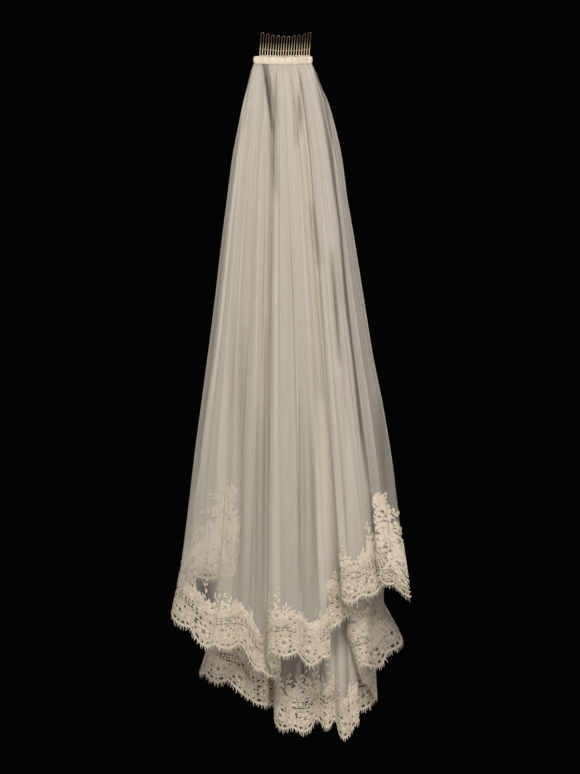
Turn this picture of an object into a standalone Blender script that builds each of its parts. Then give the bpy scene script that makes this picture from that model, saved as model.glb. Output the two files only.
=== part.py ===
"""A two-tier bridal veil with scalloped lace edges, hanging from its wire comb.

The model is in metres with +Z up, and the viewer stands at -Y with +X to the right. The
origin is the middle of the comb's teeth, where hair or a hook holds the veil. The sizes
below are in millimetres.

Each tier is one curved length of tulle. Its straight edge is gathered into the satin
binding, and its curved edge falls in folds. A tier is worked out from its hem: a smooth
curve runs through the hem's turns, and every point of the hem is joined to its place in
the gathers by a line that spreads as the veil does.
"""

import math
from collections import namedtuple

import bmesh
import bpy
from mathutils import Vector

MM = 0.001

# Comb: twenty wires, joined in pairs at their tips
COMB_CENTRE = -2.0
COMB_WIDTH = 79.0
COMB_SAGITTA = 8.0
WIRE_COUNT = 20
WIRE_DIAMETER = 1.2
TOOTH_FOOT = -22.4
TOOTH_TIP_MIDDLE = 13.0
TOOTH_TIP_RISE = 6.0
TOOTH_LEAN = 3.0
SPINE_DIAMETER = 1.6
SPINE_HEIGHT = -23.5
SPINE_POINTS = 13

# Satin binding round the gathers
BINDING_LEFT = -52.0
BINDING_RIGHT = 43.2
BINDING_TOP = -19.0
BINDING_SHOULDER = -21.5
BINDING_FOOT = -35.0
BINDING_WALL = 1.2
BINDING_MOUTH = 1.5
BINDING_ROOM = 2.9
BINDING_STEPS = 12
BINDING_CAP_STEPS = 5

# Tulle
TULLE_WALL = 1.0
TULLE_TOP = -22.0
TULLE_APART = 2.0
GATHER_LEFT = -47.5
GATHER_RIGHT = 38.7
GATHER_EDGE = 2.0
GATHER_FOOT = -36.0
GATHER_WAVES = 16
WAVE_DEPTH = 2.0
DEPTH_POWER = 0.55
HEM_ROUNDING = 6
COLUMN_LENGTH = 16.0
COLUMN_TURN = math.radians(50)
MOST_MITRE = 1.15

# Lace
SEAM_GAP = 0.3
LACE_WALL = 1.2
SCALLOP_WIDTH = 40.0
SCALLOP_DEPTH = 7.0
SCALLOP_COLUMNS = 3
LACE_OVERHANG = 26.0
LACE_BAND = 60.0
SPRAY_HEIGHT = 84.0
SPRAY_SIDE_RISE = 50.0
SPRAY_SIDE_LENGTH = 55.0
SPRAY_LIMIT = 155.0
HOLE_LEAST = 4.2
HOLE_SIDE = 0.27
HOLE_END = 0.30

# Eyelash fringe
FRINGE_GAP = 0.7
FRINGE_STRIP = 1.2
LASH_LENGTH = 6.0
LASH_SHARE = 0.4

# How far a tier has spread from its gathers to its hem, against the share of its drop
Spread = namedtuple("Spread", "drop share")
FRONT_SPREAD = (
    Spread(0.00, 0.00),
    Spread(0.016, 0.08),
    Spread(0.07, 0.16),
    Spread(0.17, 0.30),
    Spread(0.32, 0.43),
    Spread(0.52, 0.60),
    Spread(0.70, 0.76),
    Spread(0.86, 0.88),
    Spread(1.00, 1.00),
)
BACK_SPREAD = (
    Spread(0.00, 0.00),
    Spread(0.016, 0.08),
    Spread(0.07, 0.16),
    Spread(0.17, 0.29),
    Spread(0.32, 0.40),
    Spread(0.52, 0.57),
    Spread(0.70, 0.77),
    Spread(0.86, 0.94),
    Spread(1.00, 1.00),
)

# How far the cloth beyond a tier's outer folds has swung back behind or before it
Opening = namedtuple("Opening", "drop share")
FOLD_OPENING = (
    Opening(0.00, 0.00),
    Opening(0.016, 0.00),
    Opening(0.07, 0.50),
    Opening(0.17, 1.00),
)

# How far an edge panel is drawn in above its stiff lace, and the turns of the hem between
# which the panel ends
Waist = namedtuple("Waist", "drop share")
LEFT_WAIST = (
    Waist(0.00, 0.00),
    Waist(0.55, 0.00),
    Waist(0.72, 0.12),
    Waist(0.86, 0.26),
    Waist(0.96, 0.13),
    Waist(1.00, 0.00),
)
RIGHT_WAIST = (
    Waist(0.00, 0.00),
    Waist(0.55, 0.00),
    Waist(0.75, 0.07),
    Waist(0.93, 0.07),
    Waist(1.00, 0.00),
)
Panels = namedtuple("Panels", "left left_end right_start right")
BACK_PANELS = Panels(3, 5, 28, 32)

# Rows of a tier: shares of the drop, then heights above the hem
ROW_SHARES = (0.0, 0.016, 0.07, 0.17, 0.32, 0.52, 0.70)
ROW_HEIGHTS = (SPRAY_LIMIT, LACE_BAND, LACE_OVERHANG, 0.0)

# The hem's turns, left to right along the cut edge: across, depth (- is nearer the
# viewer) and drop below the binding's top
Turn = namedtuple("Turn", "across depth drop")
FRONT_HEM = (
    Turn(-76, -4, 838),
    Turn(-108, -10, 838),
    Turn(-135, -14, 839),
    Turn(-157, -18, 853),
    Turn(-174, -25, 878),
    Turn(-182, -34, 899),
    Turn(-172, -44, 906),
    Turn(-153, -50, 921),
    Turn(-126, -56, 945),
    Turn(-92, -54, 947),
    Turn(-66, -40, 950),
    Turn(-57, -42, 968),
    Turn(-38, -46, 989),
    Turn(-15, -38, 992),
    Turn(-5, -47, 987),
    Turn(-14, -57, 980),
    Turn(-26, -61, 968),
    Turn(-30, -69, 960),
    Turn(-22, -77, 958),
    Turn(1, -80, 957),
    Turn(23, -76, 961),
    Turn(41, -82, 973),
    Turn(63, -80, 964),
    Turn(72, -72, 956),
    Turn(64, -63, 942),
    Turn(56, -57, 929),
    Turn(59, -48, 919),
    Turn(72, -43, 914),
    Turn(86, -42, 910),
    Turn(100, -44, 898),
    Turn(107, -50, 888),
    Turn(102, -58, 878),
    Turn(91, -64, 872),
    Turn(90, -73, 870),
    Turn(106, -78, 872),
    Turn(137, -66, 862),
    Turn(158, -57, 850),
    Turn(176, -52, 846),
    Turn(191, -53, 857),
    Turn(200, -62, 870),
    Turn(191, -71, 861),
    Turn(172, -78, 851),
    Turn(145, -86, 848),
)
BACK_HEM = (
    Turn(-97, 72, 934),
    Turn(-126, 64, 972),
    Turn(-138, 50, 992),
    Turn(-126, 35, 1000),
    Turn(-79, 20, 1013),
    Turn(-50, 12, 1040),
    Turn(-29, 11, 1038),
    Turn(-29, 24, 1039),
    Turn(-36, 38, 1042),
    Turn(-32, 50, 1044),
    Turn(-23, 54, 1046),
    Turn(-13, 50, 1050),
    Turn(-9, 38, 1056),
    Turn(-16, 24, 1064),
    Turn(-16, 9, 1070),
    Turn(2, -2, 1081),
    Turn(38, -5, 1080),
    Turn(54, 12, 1066),
    Turn(66, 6, 1078),
    Turn(78, 12, 1068),
    Turn(92, -4, 1093),
    Turn(110, -7, 1080),
    Turn(118, 2, 1068),
    Turn(112, 12, 1061),
    Turn(105, 19, 1058),
    Turn(105, 28, 1056),
    Turn(114, 36, 1052),
    Turn(140, 40, 1042),
    Turn(149, 31, 1034),
    Turn(143, 18, 1022),
    Turn(131, 2, 1010),
    Turn(123, -12, 996),
    Turn(119, -22, 984),
    Turn(127, -30, 980),
    Turn(140, -28, 978),
    Turn(156, -25, 976),
    Turn(169, -19, 958),
    Turn(182, -12, 946),
    Turn(188, -2, 938),
    Turn(185, 10, 926),
    Turn(178, 19, 916),
    Turn(170, 25, 908),
)
FRONT_FOLDS = (5, -4)
BACK_FOLDS = (2, -4)


def clear_scene():
    for obj in list(bpy.data.objects):
        bpy.data.objects.remove(obj)


def material(name, color, roughness, metallic=0.0):
    made = bpy.data.materials.new(name)
    made.use_nodes = True
    shader = made.node_tree.nodes["Principled BSDF"]
    shader.inputs["Base Color"].default_value = (*color, 1.0)
    shader.inputs["Roughness"].default_value = roughness
    shader.inputs["Metallic"].default_value = metallic
    return made


def add_mesh(name, points, faces, look):
    """One object from points in millimetres, with its faces turned outwards."""
    mesh = bpy.data.meshes.new(name)
    mesh.from_pydata([tuple(p * MM) for p in points], [], faces)
    shell = bmesh.new()
    shell.from_mesh(mesh)
    bmesh.ops.recalc_face_normals(shell, faces=shell.faces)
    shell.to_mesh(mesh)
    shell.free()
    mesh.shade_smooth()
    mesh.set_sharp_from_angle(angle=math.radians(50))
    mesh.materials.append(look)
    obj = bpy.data.objects.new(name, mesh)
    bpy.context.scene.collection.objects.link(obj)
    return obj


def add_wire(name, points, diameter, look):
    """A round wire through points in millimetres, with closed ends."""
    curve = bpy.data.curves.new(name, "CURVE")
    curve.dimensions = "3D"
    curve.bevel_depth = diameter / 2 * MM
    curve.bevel_resolution = 1
    curve.use_fill_caps = True
    spline = curve.splines.new("POLY")
    spline.points.add(len(points) - 1)
    for place, point in zip(spline.points, points):
        place.co = (*(point * MM), 1.0)
    curve.materials.append(look)
    obj = bpy.data.objects.new(name, curve)
    bpy.context.scene.collection.objects.link(obj)
    return obj


def between(table, at):
    """The second column of a table at a value of its first, along straight lines."""
    for low, high in zip(table, table[1:]):
        if at <= high[0]:
            part = (at - low[0]) / (high[0] - low[0])
            return low[1] + (high[1] - low[1]) * max(part, 0.0)
    return table[-1][1]


def comb_depth(across):
    """The comb is a shallow arc with its middle furthest from the viewer."""
    return -COMB_SAGITTA * ((across - COMB_CENTRE) / (COMB_WIDTH / 2)) ** 2


def add_comb(look):
    left = COMB_CENTRE - COMB_WIDTH / 2
    spine = []
    for i in range(SPINE_POINTS):
        across = left + COMB_WIDTH * i / (SPINE_POINTS - 1)
        spine.append(Vector((across, comb_depth(across), SPINE_HEIGHT)))
    add_wire("comb_spine", spine, SPINE_DIAMETER, look)
    pitch = COMB_WIDTH / (WIRE_COUNT - 1)
    for i in range(WIRE_COUNT // 2):
        middle = left + pitch * (2 * i + 0.5)
        offset = (middle - COMB_CENTRE) / (COMB_WIDTH / 2)
        tip = TOOTH_TIP_MIDDLE + TOOTH_TIP_RISE * offset**2
        add_wire(f"comb_tooth_{i + 1:02d}", tooth_path(middle, pitch / 2, tip), WIRE_DIAMETER, look)


def tooth_path(middle, radius, tip):
    """A hairpin: up one leg, round the tip and down the other, leaning to the right."""
    bend = tip - WIRE_DIAMETER / 2 - radius
    flat = [(-radius, TOOTH_FOOT), (-radius, bend)]
    for angle in (135, 90, 45):
        turn = math.radians(angle)
        flat.append((radius * math.cos(turn), bend + radius * math.sin(turn)))
    flat += [(radius, bend), (radius, TOOTH_FOOT)]
    path = []
    for aside, height in flat:
        across = middle + aside
        lean = TOOTH_LEAN * (height - TOOTH_FOOT) / (tip - TOOTH_FOOT)
        path.append(Vector((across + lean, comb_depth(across), height)))
    return path


def binding_loop(apart, height):
    """A closed line round the gathers, a fixed distance from the comb's arc."""
    half = BINDING_ROOM + BINDING_WALL
    left = BINDING_LEFT + half
    right = BINDING_RIGHT - half
    loop = []
    for side in (-1, 1):
        for i in range(BINDING_STEPS + 1):
            share = i / BINDING_STEPS
            across = left + (right - left) * (share if side < 0 else 1 - share)
            loop.append(Vector((across, comb_depth(across) + side * apart, height)))
        end = right if side < 0 else left
        for i in range(1, BINDING_CAP_STEPS):
            angle = math.pi * i / BINDING_CAP_STEPS
            across = end - side * apart * math.sin(angle)
            depth = comb_depth(end) + side * apart * math.cos(angle)
            loop.append(Vector((across, depth, height)))
    return loop


def add_binding(look):
    """The ribbon sewn round comb and gathers: a ring, drawn in towards the wires on top."""
    levels = (
        (BINDING_TOP, BINDING_MOUTH),
        (BINDING_SHOULDER, BINDING_ROOM),
        (BINDING_FOOT, BINDING_ROOM),
    )
    loops = [binding_loop(room + BINDING_WALL, height) for height, room in levels]
    loops += [binding_loop(room, height) for height, room in reversed(levels)]
    count = len(loops[0])
    points = [point for loop in loops for point in loop]
    faces = []
    for k in range(len(loops)):
        below = (k + 1) % len(loops)
        for i in range(count):
            j = (i + 1) % count
            faces.append((k * count + i, k * count + j, below * count + j, below * count + i))
    add_mesh("top_binding", points, faces, look)


def hem_curve(turns):
    """Close points along a smooth curve through the hem's turns, with their run so far."""
    knots = [Vector(turn) for turn in turns]
    gaps = [(b - a).length for a, b in zip(knots, knots[1:])]
    slopes = [(b - a) / gap for a, b, gap in zip(knots, knots[1:], gaps)]
    tangents = [slopes[0]]
    for i in range(1, len(knots) - 1):
        total = gaps[i - 1] + gaps[i]
        tangents.append((slopes[i - 1] * gaps[i] + slopes[i] * gaps[i - 1]) / total)
    tangents.append(slopes[-1])
    points = [knots[0]]
    for i, gap in enumerate(gaps):
        steps = math.ceil(gap)
        for k in range(1, steps + 1):
            t = k / steps
            point = knots[i] * (2 * t**3 - 3 * t**2 + 1) + knots[i + 1] * (3 * t**2 - 2 * t**3)
            point += tangents[i] * gap * (t**3 - 2 * t**2 + t)
            point += tangents[i + 1] * gap * (t**3 - t**2)
            points.append(point)
    points = rounded(rounded(points, HEM_ROUNDING), HEM_ROUNDING // 2)
    runs = [0.0]
    for a, b in zip(points, points[1:]):
        runs.append(runs[-1] + (b - a).to_2d().length)
    return points, runs


def rounded(points, reach):
    """Each point moved to the middle of its neighbours, which gives every fold a soft bend."""
    made = []
    for i in range(len(points)):
        near = min(reach, i, len(points) - 1 - i)
        around = points[i - near : i + near + 1]
        made.append(sum(around, Vector((0, 0, 0))) / len(around))
    return made


def hem_columns(points, runs):
    """Places along the hem, closer where it turns, with one at each end of every scallop."""
    effort = [0.0]
    for i in range(1, len(points)):
        ahead = (points[i] - points[i - 1]).to_2d()
        turned = 0.0
        if i > 1:
            turned = abs(ahead.angle((points[i - 1] - points[i - 2]).to_2d()))
        effort.append(effort[-1] + ahead.length / COLUMN_LENGTH + turned / COLUMN_TURN)
    scallops = round(runs[-1] / SCALLOP_WIDTH)
    by_run = list(zip(runs, effort))
    by_effort = list(zip(effort, runs))
    places = []
    for k in range(scallops):
        start = between(by_run, runs[-1] * k / scallops)
        end = between(by_run, runs[-1] * (k + 1) / scallops)
        count = max(SCALLOP_COLUMNS, math.ceil(end - start))
        for i in range(count):
            run = between(by_effort, start + (end - start) * i / count)
            places.append((run, k + i / count))
    places.append((runs[-1], float(scallops)))
    return places


class Tier:
    """The middle of one tier's cloth: rows of points from the gathers down to the hem."""

    def __init__(self, hem, spread, folds, side, panels=None):
        points, runs = hem_curve(hem)
        self.columns = hem_columns(points, runs)
        self.length = runs[-1]
        self.side = side
        self.spread = spread

        def run_of(turn):
            near = min(range(len(points)), key=lambda k: (points[k] - Vector(hem[turn])).length)
            return runs[near]

        fold_runs = [run_of(turn) for turn in folds]
        self.panels = [run_of(turn) for turn in panels] if panels else None
        self.gathers = (
            (0.0, GATHER_LEFT),
            (fold_runs[0], GATHER_LEFT + GATHER_EDGE),
            (fold_runs[1], GATHER_RIGHT - GATHER_EDGE),
            (runs[-1], GATHER_RIGHT),
        )
        across = [(run, point.x) for run, point in zip(runs, points)]
        depth = [(run, point.y) for run, point in zip(runs, points)]
        drop = [(run, point.z) for run, point in zip(runs, points)]
        self.outer_folds = [(run, between(across, run)) for run in fold_runs]
        self.hem = []
        for run, _ in self.columns:
            self.hem.append(Vector((between(across, run), between(depth, run), between(drop, run))))
        self.rows = self.make_rows()
        self.normals = [row_normals(row) for row in self.rows]

    def drop_length(self, column):
        return self.hem[column].z - BINDING_TOP + GATHER_FOOT

    def point(self, column, share):
        """The cloth at a share of its drop, from the binding's foot to the hem."""
        run = self.columns[column][0]
        hem = self.hem[column]
        across = between(self.gathers, run)
        depth = comb_depth(across) + self.side * TULLE_APART
        spread = between(self.spread, share)
        swing = spread**DEPTH_POWER if spread > 0 else 0.0
        phase = 2 * math.pi * run / self.length
        wave = math.sin(GATHER_WAVES * phase + 1.3 * math.sin(3 * phase))
        wave *= WAVE_DEPTH * (1 - share / 2) * self.opening(run, share)
        return Vector(
            (
                across + self.reach(run, hem.x, share) * spread * (1 - self.waist(run, share)),
                depth + (hem.y - depth + wave) * swing,
                GATHER_FOOT - self.drop_length(column) * share,
            )
        )

    def waist(self, run, share):
        if not self.panels:
            return 0.0
        left, left_end, right_start, right = self.panels
        if run < left_end:
            return between(LEFT_WAIST, share) * between(((left, 1.0), (left_end, 0.0)), run)
        return between(RIGHT_WAIST, share) * between(((right_start, 0.0), (right, 1.0)), run)

    def opening(self, run, share):
        (left_run, _), (right_run, _) = self.outer_folds
        return 1.0 if left_run <= run <= right_run else between(FOLD_OPENING, share)

    def reach(self, run, hem_across, share):
        """How far the hem lies outside the gathers, with an edge fold shut near the top."""
        middle = (self.outer_folds[0][0] + self.outer_folds[1][0]) / 2
        fold_run, fold = self.outer_folds[0] if run < middle else self.outer_folds[1]
        shut = fold - between(self.gathers, fold_run)
        full = hem_across - between(self.gathers, run)
        return shut + (full - shut) * self.opening(run, share)

    def make_rows(self):
        top = []
        for column in range(len(self.columns)):
            foot = self.point(column, 0.0)
            top.append(Vector((foot.x, foot.y, TULLE_TOP)))
        rows = [top]
        for share in ROW_SHARES:
            rows.append([self.point(c, share) for c in range(len(self.columns))])
        for height in ROW_HEIGHTS:
            row = []
            for column in range(len(self.columns)):
                row.append(self.point(column, 1 - height / self.drop_length(column)))
            rows.append(row)
        return rows

    def offset(self, row, column, out):
        return self.rows[row][column] + self.normals[row][column] * out

    def at_height(self, column, height, out):
        """A point a height above the hem, moved out from the middle of the cloth."""
        first = len(self.rows) - len(ROW_HEIGHTS)
        heights = (self.rows[first - 1][column].z - self.rows[-1][column].z,) + ROW_HEIGHTS
        for k in range(len(ROW_HEIGHTS)):
            if height >= heights[k + 1]:
                part = (height - heights[k + 1]) / (heights[k] - heights[k + 1])
                low = self.offset(first + k, column, out)
                return low.lerp(self.offset(first + k - 1, column, out), part)
        return self.offset(-1, column, out)


def row_normals(row):
    """Level normals along a row, on the viewer's side where it runs to the right."""
    sides = []
    for a, b in zip(row, row[1:]):
        along = (b - a).to_2d().normalized()
        sides.append(Vector((along.y, -along.x, 0.0)))
    sides = [sides[0]] + sides + [sides[-1]]
    normals = []
    for before, after in zip(sides, sides[1:]):
        middle = before + after
        mitre = min(2 / max(middle.length, 0.1), MOST_MITRE)
        normals.append(middle.normalized() * mitre)
    return normals


def add_wall(name, outer, inner, holes, look):
    """A closed wall between two grids of points, cut through in the cells of HOLES."""
    rows = len(outer)
    columns = len(outer[0])
    points = [point for grid in (outer, inner) for row in grid for point in row]
    behind = rows * columns
    faces = []

    def at(row, column):
        return row * columns + column

    for row in range(rows - 1):
        for column in range(columns - 1):
            corners = (
                at(row + 1, column),
                at(row + 1, column + 1),
                at(row, column + 1),
                at(row, column),
            )
            if (row, column) not in holes:
                faces.append(corners)
                faces.append(tuple(behind + i for i in reversed(corners)))
                continue
            rings = []
            for shift in (0, behind):
                cell = [points[shift + i] for i in corners]
                rings.append([shift + i for i in corners])
                rings.append(list(range(len(points), len(points) + 4)))
                points += hole_corners(cell)
            front, front_hole, back, back_hole = rings
            for i in range(4):
                j = (i + 1) % 4
                faces.append((front[i], front[j], front_hole[j], front_hole[i]))
                faces.append((back[j], back[i], back_hole[i], back_hole[j]))
                faces.append((front_hole[i], front_hole[j], back_hole[j], back_hole[i]))
    for row in range(rows - 1):
        for column in (0, columns - 1):
            a, b = at(row, column), at(row + 1, column)
            edge = (a, b, behind + b, behind + a)
            faces.append(edge if column == 0 else edge[::-1])
    for column in range(columns - 1):
        for row in (0, rows - 1):
            a, b = at(row, column), at(row, column + 1)
            edge = (a, behind + a, behind + b, b)
            faces.append(edge if row == 0 else edge[::-1])
    add_mesh(name, points, faces, look)


def hole_corners(cell):
    """Four points inside a cell, given its corners: bottom left, bottom right, top right, top left."""
    low_left, low_right, high_right, high_left = cell
    corners = []
    for aside, up in (
        (HOLE_SIDE, HOLE_END),
        (1 - HOLE_SIDE, HOLE_END),
        (1 - HOLE_SIDE, 1 - HOLE_END),
        (HOLE_SIDE, 1 - HOLE_END),
    ):
        low = low_left.lerp(low_right, aside)
        high = high_left.lerp(high_right, aside)
        corners.append(low.lerp(high, up))
    return corners


def add_tulle(name, tier, look):
    """The tulle stops above the hem, where only the lace goes on."""
    rows = range(len(tier.rows) - 1)
    columns = range(len(tier.columns))
    outer = [[tier.offset(row, column, TULLE_WALL / 2) for column in columns] for row in rows]
    inner = [[tier.offset(row, column, -TULLE_WALL / 2) for column in columns] for row in rows]
    add_wall(name, outer, inner, (), look)


def scallop_edge(place):
    """Height of the lace's edge above the hem line, at a place counted in scallops."""
    return SCALLOP_DEPTH * (1 - math.sin(math.pi * (place % 1.0)))


def spray_top(run, length):
    """Height of the lace's upper edge: uneven sprays, taller at the side edges."""
    from_side = min(run, length - run)
    rise = SPRAY_SIDE_RISE * math.exp(-((from_side / SPRAY_SIDE_LENGTH) ** 2))
    return SPRAY_HEIGHT + 13 * math.sin(run / 10) + 7 * math.sin(run / 3.7 + 1) + rise


def lace_grid(tier, out):
    grid = []
    for level in (3, 2, 1, 0):
        row = []
        for column, (run, place) in enumerate(tier.columns):
            heights = (
                scallop_edge(place),
                LACE_OVERHANG,
                LACE_BAND,
                spray_top(run, tier.length),
            )
            row.append(tier.at_height(column, heights[level], out))
        grid.append(row)
    return grid


def add_lace(name, tier, look):
    """Lace on the viewer's side of the tulle, with an eyelet in each wide enough cell."""
    near = TULLE_WALL / 2 + SEAM_GAP
    outer = lace_grid(tier, near + LACE_WALL)
    inner = lace_grid(tier, near)
    eyelet_row = len(outer) - 2
    holes = set()
    for column in range(len(tier.columns) - 1):
        width = (outer[-1][column + 1] - outer[-1][column]).to_2d().length
        if width * (1 - 2 * HOLE_SIDE) > HOLE_LEAST:
            holes.add((eyelet_row, column))
    add_wall(name, outer, inner, holes, look)


def add_fringe(name, tier, look):
    """A narrow strip under the lace's edge, with one lash in each of its lengths."""
    near = TULLE_WALL / 2 + SEAM_GAP
    edges = (lace_grid(tier, near + LACE_WALL)[-1], lace_grid(tier, near)[-1])
    places = []
    for column in range(len(tier.columns) - 1):
        places.append((column, 0.0))
        places.append((column, LASH_SHARE))
    places.append((len(tier.columns) - 2, 1.0))
    points = []
    for column, part in places:
        for below in (FRINGE_GAP, FRINGE_GAP + FRINGE_STRIP):
            for edge in edges:
                points.append(edge[column].lerp(edge[column + 1], part) - Vector((0, 0, below)))
    faces = [(0, 1, 3, 2)]
    for i in range(len(places) - 1):
        a, b = 4 * i, 4 * i + 4
        faces += [(a, b, b + 1, a + 1), (a, a + 2, b + 2, b), (a + 1, b + 1, b + 3, a + 3)]
        foot = (a + 2, a + 3, b + 3, b + 2)
        if places[i][1] == 0.0:
            middle = sum((points[j] for j in foot), Vector()) / 4
            points.append(middle - Vector((0, 0, LASH_LENGTH)))
            tip = len(points) - 1
            faces += [(foot[k], foot[(k + 1) % 4], tip) for k in range(4)]
        else:
            faces.append(foot)
    last = 4 * (len(places) - 1)
    faces.append((last, last + 2, last + 3, last + 1))
    add_mesh(name, points, faces, look)


def main():
    clear_scene()
    metal = material("comb_metal", (0.80, 0.70, 0.56), 0.25, 1.0)
    satin = material("ivory_satin", (0.86, 0.80, 0.68), 0.35)
    tulle = material("ivory_tulle", (0.82, 0.78, 0.70), 0.8)
    lace = material("ivory_lace", (0.88, 0.83, 0.73), 0.7)
    add_comb(metal)
    add_binding(satin)
    front = Tier(FRONT_HEM, FRONT_SPREAD, FRONT_FOLDS, -1)
    back = Tier(BACK_HEM, BACK_SPREAD, BACK_FOLDS, 1, BACK_PANELS)
    for word, tier in (("front", front), ("back", back)):
        add_tulle(f"{word}_tier", tier, tulle)
        add_lace(f"{word}_lace", tier, lace)
        add_fringe(f"{word}_fringe", tier, lace)


main()
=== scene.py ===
# %% [markdown]
# # A two-tier bridal veil, dressed
# The veil is two lengths of soft ivory tulle gathered into one satin binding on a wire
# comb. Everything that follows is worked out from how such a veil is sewn: a curved cut,
# a gathered top, and lace laid along the curve. The frame gives the real sizes, so it is
# loaded first and its box is kept, to be printed beside the dressed veil's at the end.

import math

import bpy
import numpy as np
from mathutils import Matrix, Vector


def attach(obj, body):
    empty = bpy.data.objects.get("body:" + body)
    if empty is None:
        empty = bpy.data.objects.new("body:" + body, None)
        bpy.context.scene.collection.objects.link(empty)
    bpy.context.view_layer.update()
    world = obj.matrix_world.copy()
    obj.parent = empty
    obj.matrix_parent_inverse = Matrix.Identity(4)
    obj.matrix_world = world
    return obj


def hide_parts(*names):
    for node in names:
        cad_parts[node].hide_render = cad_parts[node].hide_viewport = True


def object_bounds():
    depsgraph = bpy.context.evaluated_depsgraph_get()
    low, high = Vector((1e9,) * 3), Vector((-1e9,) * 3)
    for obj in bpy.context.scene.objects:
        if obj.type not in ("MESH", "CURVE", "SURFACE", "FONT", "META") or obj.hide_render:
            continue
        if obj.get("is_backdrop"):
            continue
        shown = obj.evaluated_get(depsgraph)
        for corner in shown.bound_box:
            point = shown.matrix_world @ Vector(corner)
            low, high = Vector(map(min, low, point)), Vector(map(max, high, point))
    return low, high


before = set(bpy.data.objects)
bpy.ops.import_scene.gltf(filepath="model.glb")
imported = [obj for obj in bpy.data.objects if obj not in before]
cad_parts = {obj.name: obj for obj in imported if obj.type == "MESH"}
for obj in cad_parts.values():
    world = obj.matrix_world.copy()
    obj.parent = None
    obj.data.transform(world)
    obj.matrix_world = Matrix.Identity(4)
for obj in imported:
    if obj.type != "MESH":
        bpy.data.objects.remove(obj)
cad_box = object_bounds()
MM = 0.001
print("nodes:", len(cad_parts))

# %% [markdown]
# ## The camera
# The veil was seen straight on from a few steps away. One pixel of that view is 1.6 mm
# on the cloth, a scale taken from the 80 mm comb. A camera could be placed by eye, but
# here its lens is worked out from that scale, so that sizes can be compared directly.

# %% Camera from the scale of the view
IMAGE_WIDTH_PX, IMAGE_HEIGHT_PX = 580, 774
PIXEL_MM = 1.6
ORIGIN_PX = (285.5, 44.0)
CAMERA_DISTANCE_MM = 9000.0
SENSOR_MM = 24.0

camera = bpy.data.objects.new("camera", bpy.data.cameras.new("camera"))
bpy.context.scene.collection.objects.link(camera)
camera.location = (
    (IMAGE_WIDTH_PX / 2 - ORIGIN_PX[0]) * PIXEL_MM * MM,
    -CAMERA_DISTANCE_MM * MM,
    (ORIGIN_PX[1] - IMAGE_HEIGHT_PX / 2) * PIXEL_MM * MM,
)
camera.rotation_euler = (math.pi / 2, 0, 0)
camera.data.sensor_fit = "VERTICAL"
camera.data.sensor_height = SENSOR_MM
camera.data.lens = SENSOR_MM * CAMERA_DISTANCE_MM / (IMAGE_HEIGHT_PX * PIXEL_MM)
bpy.context.scene.camera = camera
print("lens", round(camera.data.lens, 1), "mm")

# %% [markdown]
# ## Finishes
# Tulle is a hexagonal net of fine thread. From a step away only its average shows, a
# soft veil that hides about a third of what is behind it, so the net is drawn by three
# crossed cosine waves that make a honeycomb, and each layer stays see-through. Lace
# thread is matt and slightly ribbed. The ribbon is satin. The comb's wires are painted
# pale gold at the foot and dark brown towards their tips, a painted reflection of the
# ivory cloth low down and of the dark room higher up.

# %% Node helpers
def new_material(name, color, roughness, **sockets):
    """A Principled material with its constants on the shader's own sockets."""
    made = bpy.data.materials.new(name)
    made.use_nodes = True
    shader = made.node_tree.nodes["Principled BSDF"]
    shader.inputs["Base Color"].default_value = (*color, 1.0)
    shader.inputs["Roughness"].default_value = roughness
    for socket, value in sockets.items():
        shader.inputs[socket.replace("_", " ")].default_value = value
    return made, made.node_tree, shader


def math_node(tree, operation, first, second=None, third=None):
    node = tree.nodes.new("ShaderNodeMath")
    node.operation = operation
    for socket, value in zip(node.inputs, (first, second, third)):
        if value is None:
            continue
        if isinstance(value, (int, float)):
            socket.default_value = value
        else:
            tree.links.new(value, socket)
    return node.outputs[0]


def cut_place(tree):
    """Where a point lies in the flat cut, in millimetres, kept on the mesh as an attribute."""
    node = tree.nodes.new("ShaderNodeAttribute")
    node.attribute_name = "cut"
    return node.outputs["Vector"]


def noise_node(tree, place, scale, detail=3.0, stretch=(1, 1, 1)):
    mapping = tree.nodes.new("ShaderNodeMapping")
    mapping.inputs["Scale"].default_value = stretch
    tree.links.new(place, mapping.inputs["Vector"])
    noise = tree.nodes.new("ShaderNodeTexNoise")
    noise.inputs["Scale"].default_value = scale
    noise.inputs["Detail"].default_value = detail
    tree.links.new(mapping.outputs["Vector"], noise.inputs["Vector"])
    return noise.outputs["Fac"]


def two_tone(tree, shader, factor, dark, light, dimmed=False):
    """A mix of two colours, darker where the light attribute says that less light comes."""
    mix = tree.nodes.new("ShaderNodeMix")
    mix.data_type = "RGBA"
    mix.inputs["A"].default_value = (*dark, 1.0)
    mix.inputs["B"].default_value = (*light, 1.0)
    tree.links.new(factor, mix.inputs["Factor"])
    colour = mix.outputs["Result"]
    if dimmed:
        reached = tree.nodes.new("ShaderNodeAttribute")
        reached.attribute_name = "light"
        scale = tree.nodes.new("ShaderNodeVectorMath")
        scale.operation = "SCALE"
        tree.links.new(colour, scale.inputs[0])
        tree.links.new(reached.outputs["Fac"], scale.inputs["Scale"])
        colour = scale.outputs["Vector"]
    tree.links.new(colour, shader.inputs["Base Color"])


def bump(tree, shader, height, strength, distance):
    node = tree.nodes.new("ShaderNodeBump")
    node.inputs["Strength"].default_value = strength
    node.inputs["Distance"].default_value = distance
    tree.links.new(height, node.inputs["Height"])
    tree.links.new(node.outputs["Normal"], shader.inputs["Normal"])


# %% Tulle: a honeycomb net
NET_PITCH_MM = 1.5
MOST_COVER = 0.96
TULLE_DARK = (0.67, 0.622, 0.538)
TULLE_LIGHT = (0.755, 0.704, 0.612)


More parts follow.
